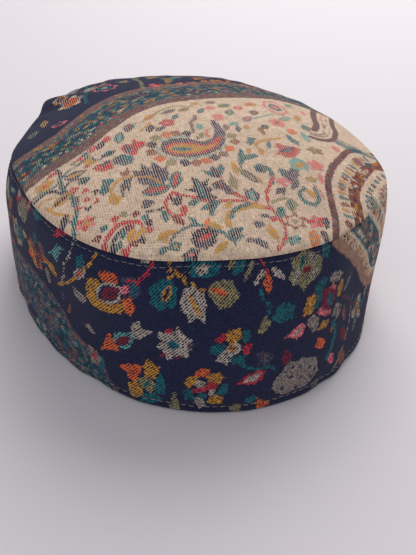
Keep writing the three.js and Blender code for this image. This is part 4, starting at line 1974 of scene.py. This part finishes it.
CROWN_MIDDLE: tuple[Motif, ...] = (
    Leaf(6.8, -4, 6, 4, 20, PINK), Leaf(9.6, 2, 6, 3.4, 10, MAUVE),
    Leaf(14.6, -2.2, 8, 5, 20, OLIVE, TEAL), Leaf(13.8, -9.9, 7, 4.6, 60, TEAL, OLIVE),
    Leaf(20, -5.6, 5.4, 4.6, 20, RED, PINK), Leaf(25, -11.6, 6.4, 4.6, 60, NAVY, MAUVE),
    Leaf(2, 2, 5, 3.4, 20, MUSTARD), Leaf(1.6, -6, 6, 3.4, 50, TEAL),
    Leaf(-5, -3, 7, 4, 20, OLIVE, RUST), Leaf(-12, -2.6, 8, 4, 15, MAUVE, SLATE),
    Leaf(-11, -8.4, 6, 3, 50, TEAL), Leaf(-21, -3.8, 7, 4, 30, MUSTARD, ORANGE),
    Stem("-29 -6.6 -22 -5.6 -16 -0.6 -8 1.6 0 -1", 1.0, OLIVE),
    Bloom(38.6, -6, 12, 18, (PINK,), ((0.72, CREAM), (0.5, TEAL), (0.28, PINK)), 10, 7, 0.2),
    Bloom(28, -2, 8, 6, (MUSTARD, ORANGE), ((0.3, TEAL),), 0, 5),
    Leaf(48.6, -1.6, 8, 4, 40, SEA, OLIVE), Leaf(45.4, -15.6, 8, 4, 60, MUSTARD),
    Leaf(36.6, -18.6, 8, 4, 20, OLIVE, SEA),
    Stem("22 -17.6 28 -15.6 34 -13.8 41 -17 46 -22.6", 1.1, SEA),
    Leaf(18.6, -17.6, 7, 4, 40, SLATE, PINK), Leaf(53, -8, 6, 3, 70, PINK),
)

CROWN_DROPS: tuple[Motif, ...] = (
    Strip(DROP_EDGE, 2.7, 22.0, CREAM), Strip(DROP_EDGE, -0.2, 2.7, MAUVE),
    Specks(DROP_EDGE, 0.0, 2.6, (1.5, 1.3), (RUST, TAN, MAROON, MAUVE), 0.9, 39),
    Teeth(DROP_EDGE, 5.0, 9.4, 3.1, (TEAL, MAROON, MUSTARD), 0.72),
    Strip(DROP_EDGE, 9.6, 14.6, RUST),
    Specks(DROP_EDGE, 9.6, 14.8, (2.3, 1.9),
        (TEAL, CREAM, OLIVE, MAUVE, MAROON, NAVY, CREAM, MUSTARD), 0.9, 9),
    Teeth(DROP_EDGE, 16.6, 19.6, 4.2, (TEAL, NAVY), 0.6),
    Strip(DROP_EDGE, 22.0, 70.0, CREAM),
    Specks(DROP_EDGE, 20.6, 26.6, (3.2, 2.6), (RUST, MAROON, STONE, OLIVE, TEAL), 0.85, 10),
    Specks(DROP_EDGE, 28.5, 70.0, (3.4, 2.8), (TEAL, MAUVE, CREAM, RUST, TEAL), 0.8, 12),
    Leaf(49.4, -72.3, 8, 4.6, 60, TEAL, NAVY), Leaf(57, -49, 7, 5, 50, MAROON),
    Leaf(62.4, -50, 6, 4, 30, TEAL),
    Stem("44 -25.6 50.6 -28.8 57.5 -37 66 -40.4 76 -43", 4.6, TEAL),
    Stem("44 -23 51.6 -26 60 -33.6 68.6 -36.6 78 -38", 1.3, NAVY),
    Bloom(49, -25.4, 8, 6, (MAROON,), (), 0, 5), Strip(BACK_DROP_EDGE, 0.0, 3.2, MAUVE),
    Strip(BACK_DROP_EDGE, 3.2, 9.4, CREAM),
    Specks(BACK_DROP_EDGE, 4.2, 8.6, (3.2, 2.2), (MAUVE, STONE, PINK), 0.7, 14),
    Strip(BACK_DROP_EDGE, 9.4, 12.0, MAUVE),
)

CROWN_MOTIFS: tuple[Motif, ...] = (
    *CROWN_MIDDLE, *CROWN_LEFT, *CROWN_FRONT, *CROWN_RIGHT, *CROWN_PAISLEY, *CROWN_DROPS,
    *CROWN_STRIPS, *CROWN_BACK,
)

# What is woven on the band, by its angle in degrees and its height in millimetres

LEFT_EDGE: tuple[Pair, ...] = (
    (236, -14), (229, -3), (226, 2), (223.6, 7), (222.4, 12.4), (220.4, 17), (216.6, 17.8),
    (212.4, 18.8), (208.8, 21.2), (206, 24.6), (202.4, 27.6), (198, 30), (192, 32.8),
    (186, 32.4), (174, 27), (164, 26), (154, 30), (144, 24), (136, 10), (130, -6), (126, -20),
)
RIGHT_EDGE: tuple[Pair, ...] = (
    (277, 78), (284, 63.3), (286.8, 59.8), (290.8, 54.8), (295, 49.3), (300.2, 42.3),
    (303.8, 34.4), (308, 28.9), (316, 25), (328, 27), (340, 36), (350, 48), (358, 62), (363, 78),
)

BAND_GROUND: tuple[Motif, ...] = (
    Garden(((92, -10), (190, 64)), 21.0, NAVY, 23), Garden(((302, -10), (448, 64)), 21.0, NAVY, 29),
)

BAND_STRIPS: tuple[Motif, ...] = (
    # The left strip's outer bands are slate, where the same border on the crown is mauve: partly the
    # strip's own dark yarns and partly painted shade for the band's shadowed left side.
    Strip(LEFT_EDGE, 0.0, 2.4, SLATE), Strip(LEFT_EDGE, 2.4, 13.5, TEAL),
    Specks(LEFT_EDGE, 0.0, 2.6, (2.2, 1.5), (RUST, MAUVE, NAVY, RUST, MAUVE), 0.9, 31),
    Specks(LEFT_EDGE, 2.4, 13.5, (2.4, 1.7),
        (NAVY, RUST, NAVY, STONE, NAVY, MAUVE, SLATE, NAVY, MAROON), 1.3, 32),
    Strip(LEFT_EDGE, 13.5, 22.0, SLATE),
    Specks(LEFT_EDGE, 13.5, 22.0, (2.4, 1.7), (RUST, TEAL, MAUVE, OLIVE, NAVY, TEAL), 1.0, 33),
    Strip(RIGHT_EDGE, 0.0, 4.2, TAN),
    Specks(RIGHT_EDGE, 0.2, 4.2, (1.5, 1.2), (RUST, STONE, TAN, MAUVE, TAN), 0.9, 34),
    Strip(RIGHT_EDGE, 4.2, 8.2, CREAM),
    Specks(RIGHT_EDGE, 4.0, 7.6, (1.7, 1.5), (RUST, NAVY, MAROON, MUSTARD, TAN), 1.0, 35),
    Strip(RIGHT_EDGE, 8.2, 18.0, TEAL),
    Specks(RIGHT_EDGE, 8.8, 17.0, (2.2, 1.9), (RUST, CREAM, NAVY, RUST, TAN, MAROON), 1.1, 36),
    Strip(RIGHT_EDGE, 18.0, 60.0, CREAM),
    Teeth(RIGHT_EDGE, 19.5, 24.5, 3.6, (TEAL, MAROON, MUSTARD), 0.7),
    Specks(RIGHT_EDGE, 26.0, 60.0, (3.4, 2.8), (TEAL, MAUVE, RUST, MAROON, CREAM), 0.75, 37),
)

BAND_FRONT: tuple[Motif, ...] = (
    Shape("217.6 51.4 219.4 53.8 221.6 54.6 222.6 52.6 221.4 50 220.6 46.8 224 45.4 229 47.6 "
          "230 45.6 227.4 42 223.4 40.2 218.8 40.6 217 44", MUSTARD),
    Shape("229 49.8 230.4 51 232 50.2 232.4 47.4 231 42.6 229.4 45.4", ORANGE),
    Shape("221.6 57 224 59 226.6 59.4 228 58.2 227.6 55.6 225 54.4 222.6 55", ORANGE),
    Shape("228 57.6 230 59.4 233.4 59.8 234.2 57 233.8 53.6 232.6 50.8 231 52.4 230.6 56", SLATE),
    Leaf(232.6, 55.4, 8, 2.6, 80, TEAL), Leaf(229.8, 53.6, 6, 2.8, 60, PINK),
    Leaf(231.6, 58.2, 5, 1.6, 20, RED), Leaf(224.8, 50, 15.5, 9, 37, PALE),
    Leaf(224.8, 50, 13.4, 6.4, 37, NAVY), Leaf(225.2, 50.2, 12, 4.8, 37, MAROON),
    Stem("238 68 236.6 63 234.6 60 233.2 57", 1.1, RED),
    Shape("233.8 65.6 235 67.6 238 67.6 236.6 65.4", PALE),
    Shape("236.2 56.6 238.2 59.2 240.6 60.6 242.8 60 243.8 57.2 243.8 53.6 243.2 49.4 240.6 49.6 "
          "238.6 46.6 238.4 49.4 236.6 51 237 54", TEAL),
    Leaf(241.2, 55, 7.4, 3.4, 70, MUSTARD, NAVY),
    Shape("244.6 49 244.6 53 246 57.4 247.8 58 250.6 55.4 251.4 52 251 48.4 250.6 44.4 248.6 46.6 "
          "246.6 45 246 48", PALE), Leaf(248.2, 51, 9.4, 2.2, 117, MUSTARD),
    Shape("251.2 56 253 59.2 255.6 60.4 257.8 59.8 258.2 57.6 259.8 54.4 258.2 52.8 257.4 50.4 "
          "255.6 50.6 254.6 49 253.8 51 252.4 53.4", OLIVE), Leaf(254.6, 55.9, 8, 2.3, -26, ORANGE),
    Stem("241.6 68 242.8 64.4 245.2 61.4 248 58.6 251.2 56.4", 1.0, MUSTARD),
    Stem("243.6 63.6 244.4 61.4 246.2 62.8", 0.9, MUSTARD),
    Stem("245.6 61 246 59.4 246.8 57.6", 1.0, MUSTARD),
    Stem("242.6 64.6 242 62 242 60.6", 0.8, MUSTARD),
    Shape("246.6 64.4 248.2 66.6 252.4 66.6 255.6 65 253.8 62 251.2 60.8 248 61.2", TEAL),
    Leaf(250.4, 63.8, 6, 3.6, 22, PALE), Leaf(259.6, 64.6, 8, 4.4, 50, TEAL),
    Leaf(257.8, 65.6, 6, 2.4, 60, OLIVE), Leaf(261.8, 62.6, 8, 2.4, 62, OLIVE),
    Shape("238.4 39.6 240.2 39 241.8 41.4 242.6 39.8 243.8 43.2 244.6 40.2 247.2 37.6 246 35.4 "
          "247.2 33.4 245.6 31.6 246 28.6 243.8 29.8 242 28.6 240.4 26.4 240.2 29.4 237.8 32 "
          "239.4 34.6 238.4 37", PALE), Leaf(242.4, 34.2, 4.6, 4.6, 70, TEAL),
    Leaf(241.4, 40.4, 3.4, 2.6, 30, RED), Leaf(246.8, 34.6, 4, 1.6, 70, MAUVE),
    Leaf(243.6, 28.6, 4, 1.6, 20, MAROON), Leaf(239.6, 29, 3, 1.6, 40, RED),
    Shape("230.6 35 231 38.6 233.4 42 234 38.4 237.4 38.8 235.6 36.4 233.4 33.4 231.6 32.8", PALE),
    Leaf(228.2, 29.8, 13, 7, 42, SEA), Leaf(228, 29.2, 11, 4.2, 42, MAROON),
    Shape("221 19.8 222.2 24.4 223.8 31.8 224.8 29.2 225.6 26.4 227.6 24.2 226 23.4 "
          "223.6 22", ORANGE), Shape("237 16 238.6 19.4 239.8 14 239.4 9 237.4 8 236.8 12", TEAL),
    Shape("226.6 16.6 229 19.2 231.6 20.4 233.6 20 232.8 16.4 231.6 12.4 229 12 "
          "229.6 14.6", ORANGE),
    Shape("233.8 20.6 235.6 25.2 236.6 23 238.4 22 237.8 18.4 237 15.6 234.4 15.4", MUSTARD),
    Shape("232 13.6 234.2 15.6 236.6 14 236.8 10 235 7.4 233 9.4", OLIVE),
    Leaf(234.4, 11.8, 5, 2, 50, TEAL),
    Shape("229.2 10.4 231.8 12 233.2 9.4 233 6 231.4 2.4 229.4 3.4", MUSTARD),
    Shape("232.4 2.4 233.6 6.4 236 8.6 238.4 6.6 237 3 234.6 1.6", TEAL),
    Shape("247.6 20.2 247.4 22.6 249.6 25 251.2 24.2 251.2 20.2", ORANGE),
    Shape("250.4 20 251.4 22.6 253.8 22.8 254.8 20 253.8 17.4 251.6 17", MUSTARD),
    Shape("244.6 17 246 20.2 248.4 20 247.4 16.4 246 14 244.8 15", MUSTARD),
    Shape("247 16 248.4 18.6 250.2 18.2 250 15.6 248.4 14.4", PALE),
    Shape("250.2 16 251.2 18.4 252.6 17.6 253.4 15.4 251.4 14 248.4 12 246.8 11 246.8 14.4 "
          "248.6 14.4", RED),
    Shape("253.2 13.6 254.2 17.2 255.8 16 255.8 12.4 254.4 10.6 252.8 11.6", TEAL),
    Shape("244.2 13 246.4 13.4 247 11 247 8 244.6 7.6 244.2 10", TEAL),
    Shape("247.8 9 248.2 12 250 12 250.2 8.8", TEAL),
    Shape("250.4 10.6 251 13.6 252.4 14 252.2 11", PALE),
    Shape("250.6 6.6 250.6 10 252.4 11.2 254.6 9.8 254.4 6.4 252 5.8", MUSTARD),
    Shape("246.8 6.6 247.6 9.6 249.6 8.6 249.8 4.6 248.4 3.4", PALE),
    Shape("255.4 37.6 256.2 41.6 259.6 41.6 259.6 38.2 258.2 35.6 256.2 36", MUSTARD),
    Shape("252.4 36.8 254.6 40.4 256 40 255.6 37 253.8 36", RED),
    Shape("251.4 34.2 253.6 36 255.6 35.4 255 32.2 253.4 30.4 252 31.6", TEAL),
    Shape("252.6 28.4 254.6 32 256.4 35.6 257.2 31 255.8 26 254.6 27.6", PALE),
    Shape("257.4 31 258 36.6 259.8 34.8 259 31.4", PALE), Leaf(257, 33.8, 4, 3.6, 0, MUSTARD, NAVY),
    Shape("259.6 36.2 259.8 40.6 261.2 40.8 262 37.6 261 35.4", TEAL),
    Shape("259.6 33 260 35.2 262.2 34.6 261.2 30.4 259.8 30.6", RED),
    Shape("256.4 29.4 258.4 30.6 260.2 30 260.2 27 258 26.2 256.8 27", TEAL),
    Shape("257.2 15.8 259.8 18.6 260.8 21 264 21.6 265.6 20.4 264.6 17 263 14.8 260.6 16", RED),
    Shape("259.4 16.8 261.4 19.8 264.6 20.6 263.4 16.8", PALE),
    Stem("258 27 260.4 24.4 264 22.4 266.6 22.6 268.6 18.6", 1.2, TEAL),
    Shape("262.6 30.4 265 30 267.2 28.8 267.4 26 266 23.4 263.6 24.2 264 27", SLATE),
    Leaf(265.4, 27, 4, 1.8, 110, MAUVE), Shape("240.2 1 240.6 6.6 242 11 242.8 7 243 1", OLIVE),
    Shape("256.2 3 256.8 5 258.4 6 259.6 3.6 258.6 1 257 1", OLIVE),
    Shape("260 5.8 260.6 8.4 262.8 9.4 263.4 6.4 262 5.4", TEAL),
    Shape("263.2 3 263.8 7.4 265.4 4.6 266.8 3 265.2 0.6 263.6 1", ORANGE),
    Shape("262.6 57.2 263.6 60.6 265.2 62.8 265.6 60.4 264 58", PALE),
    Shape("267 61.8 267.6 63.4 269 61.4 270 57.6 268.6 58.6", PALE),
    Stem("265 66 265.6 63.6 266.4 61", 1.0, RED),
    Shape("264.8 58.4 266.2 61.8 267.4 59 267 55.6 266.4 52.8 265.6 55.6", ORANGE),
    Shape("270.4 57.6 271.6 60.6 271 63.6 272.8 65 275 66.8 277.4 64.4 279 62 279.4 57.6 277.8 55 "
          "276 53.4 274 50.8 273 54 271.4 54.4", OLIVE), Leaf(272.4, 58, 6, 2.6, 60, PALE),
    Leaf(276.6, 63, 6, 2.4, 110, PALE), Leaf(277, 56.6, 6, 2.6, 60, PALE),
    Leaf(273.8, 62.6, 6, 1.8, 70, TEAL), Leaf(275, 59.2, 4.4, 3.2, 0, MAROON),
    Stem("264.6 56 264.8 52.4 265.8 49.6 266 45", 1.1, TEAL),
    Stem("266 50 267 48.6 268.4 47", 1.0, TEAL),
    Shape("266.8 43.6 268 47.4 269.8 48.8 272 46.4 271.6 42.6 272.6 40.8 270 40.8 268.8 40", TEAL),
    Shape("263.4 38.2 263.8 42 265.6 45.2 266.8 42.6 266.4 40.4 264.6 37.6", OLIVE),
    Shape("274.2 39.8 274.4 43.6 275.2 47.6 277 48 278.4 45.8 276.8 40", MUSTARD),
    Shape("277 49.6 278.6 52.8 281 53.8 282 51.6 280 49 279.8 45 278.4 41 277 42.4 "
          "278.6 46.4", TEAL),
    Shape("282 51 283.8 53.4 286.6 52.6 288.2 50.4 286 48.6 283 49.4", STONE),
    Shape("286 44.8 287.6 48 289 46.8 288.8 43 287.4 40.4 286.2 41.6", MUSTARD),
    Shape("284 35 286 38.4 288 37.6 287.6 34.8 285.6 33", STONE),
    Shape("279.8 44 280.4 48.4 282.6 48.2 285 46.4 286 43 284.6 39.6 282 38.6 280 40.6", MAROON),
    Shape("282.2 48.6 284 48.4 286 46.4 284.6 45.8", PINK),
    Shape("281.8 42.6 282.6 45.8 284.2 44.6 284.4 41 283.4 39.4", TEAL),
    Shape("278.4 39.4 279.6 41.4 281.2 39.4 284 37.4 283.6 35.8 280.8 36.6", PINK),
    Shape("275.2 37.6 277.2 39.6 279.4 37 279.2 33.4 277.8 31.4 276.6 34", STONE),
    Shape("279.2 31 280.4 34.4 283.2 33.6 283 31", MUSTARD),
    Shape("269.8 33.8 272 36.2 273.6 37.6 275.4 36.4 274.8 33 273 31.2 271.4 32.8", PINK),
    Leaf(273, 34.4, 6, 2, 30, PALE),
    Shape("269.4 23 270 27.8 270.8 27.4 272 24.4 270.8 20.6", MAROON),
    Shape("278.6 24.2 280 28 281.4 26.4 283 23.8 281.6 21.6 280 22.4", ORANGE),
    Shape("267.4 10.6 268 15 270 18.8 271.4 22 272.8 20.4 275 21.8 277.6 20 280 18.6 280.4 14 "
          "281.2 11.4 279 8 277 5.4 271 5.4 268.6 7.4", STONE),
    Scatter(2.4, ((270, 9, NAVY), (272, 13.6, NAVY), (274.6, 17.4, SLATE), (275, 11.6, NAVY),
        (277.6, 15, NAVY), (278.4, 9.6, SLATE), (274, 7.4, NAVY), (279.4, 12.6, NAVY),
        (272.4, 18.4, NAVY))),
    Leaf(285.8, 13.4, 9, 4, 110, PINK),
    Leaf(291.8, 8, 13, 6, 120, RUST), Leaf(291.4, 20, 10, 5, 120, MAROON),
    Leaf(291.2, 30, 9, 3.4, 96, RUST), Leaf(287.6, 33.4, 6, 3, 50, STONE),
    Leaf(284.8, 28.4, 4, 2.4, 70, ORANGE), Stem("284 15 286 22 286.4 27 285 31", 2.4, TEAL),
    Stem("287.6 5 290.6 12 294.4 22 297.6 32", 1.0, STONE),
    Stem("289.4 40 293.4 35 297.4 29.6 301 25", 0.9, MAROON), Leaf(292.6, 43.4, 9, 2.6, 30, STONE),
    Leaf(299.4, 21, 12, 3.4, 66, STONE, SLATE), Leaf(281.2, 4, 7, 3.4, 20, OLIVE, TEAL),
    Leaf(280.6, 64, 7, 4.6, 110, TEAL),
)

BAND_LEFT: tuple[Motif, ...] = (
    Stem("213.2 66 212.2 60 209.6 54 208.2 46 205.6 39", 1.3, PALE, 2.2),
    Shape("204.6 62 206 66 208.6 68 209.6 66 208 64", RED),
    Shape("202.2 52.6 204.4 56.4 206.4 60.6 209.6 59.6 207.8 57 206.6 53 206 51 204 53.6", SEA),
    Leaf(215.4, 58.2, 8, 4, 60, TEAL),
    Stem("221 64 217.6 57 213.6 50 209 43.4 204.4 38", 1.2, MUSTARD),
    Shape("212.6 50.4 213.6 53.6 215.2 55.6 217.6 55 216.6 52.4 214.6 49.6", PALE),
    Leaf(215, 52.6, 6, 1.8, 45, ORANGE),
    Shape("211.4 44.6 212.2 40 213.6 37.2 216 39.4 217 43.4 214.6 43.4", STONE),
    Shape("214.6 26.4 216.8 29.4 217.8 27.6 220.2 26.4 217.6 25", STONE),
    Shape("206.8 24 208 28.6 209.4 33.4 209.4 28", RUST),
    Shape("200.6 44.6 201.6 47.6 203.6 48.6 204.8 45 204.6 42 202.6 42", MUSTARD),
    Leaf(205.8, 33, 5, 3, 80, SLATE), Leaf(198.4, 50.6, 9, 4, 110, MAUVE),
    Leaf(197, 47, 8, 3, 100, MAROON), Leaf(192.6, 47, 9, 5, 120, RUST),
    Leaf(194.6, 52.6, 7, 4, 60, TEAL), Leaf(195, 41.6, 12, 5, 60, RUST, MAROON),
    Leaf(199.4, 38, 10, 3.4, 80, STONE), Leaf(187, 58.8, 15, 8, 60, OLIVE, STONE),
    Leaf(185, 45, 10, 6, 60, TEAL), Leaf(178, 52, 12, 5, 45, RUST, ORANGE),
    Leaf(174, 40, 14, 5, 60, SLATE, TEAL),
    Bloom(218.6, 14.4, 9, 10, (STONE, MAUVE), ((0.34, RED),), 0, 6, 0.3),
    Leaf(221.4, 13.6, 8, 3, 80, TEAL), Leaf(196, 65, 8, 5, 20, TEAL),
)

BAND_MOTIFS: tuple[Motif, ...] = (*BAND_GROUND, *BAND_STRIPS, *BAND_LEFT, *BAND_FRONT)


def main() -> None:
    """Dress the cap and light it."""
    logging.basicConfig(level=logging.INFO, format="%(name)s: %(message)s")
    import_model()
    PhotoCamera().build()
    Studio().build()
    groups = Groups()
    form = CapForm()
    crown = Crown(form)
    band = SideBand(form)
    crown_cloth = crown.build(groups, CROWN_MOTIFS)
    LOG.info("crown: %d points", len(crown_cloth.data.vertices))
    band_cloth = band.build(groups, BAND_MOTIFS)
    LOG.info("side band: %d points", len(band_cloth.data.vertices))
    thread = StitchFinish().material()
    rows = [
        StitchRow("seam_stitches", band, band.stitch_rows[0]).build(thread),
        StitchRow("hem_stitches", band, band.stitch_rows[1], 3.1, 2.3, 0.34, 7).build(thread),
    ]
    LOG.info("stitches: %d points", sum(len(row.data.vertices) for row in rows))
    LOG.info("sizes written")


if __name__ == "__main__":
    main()
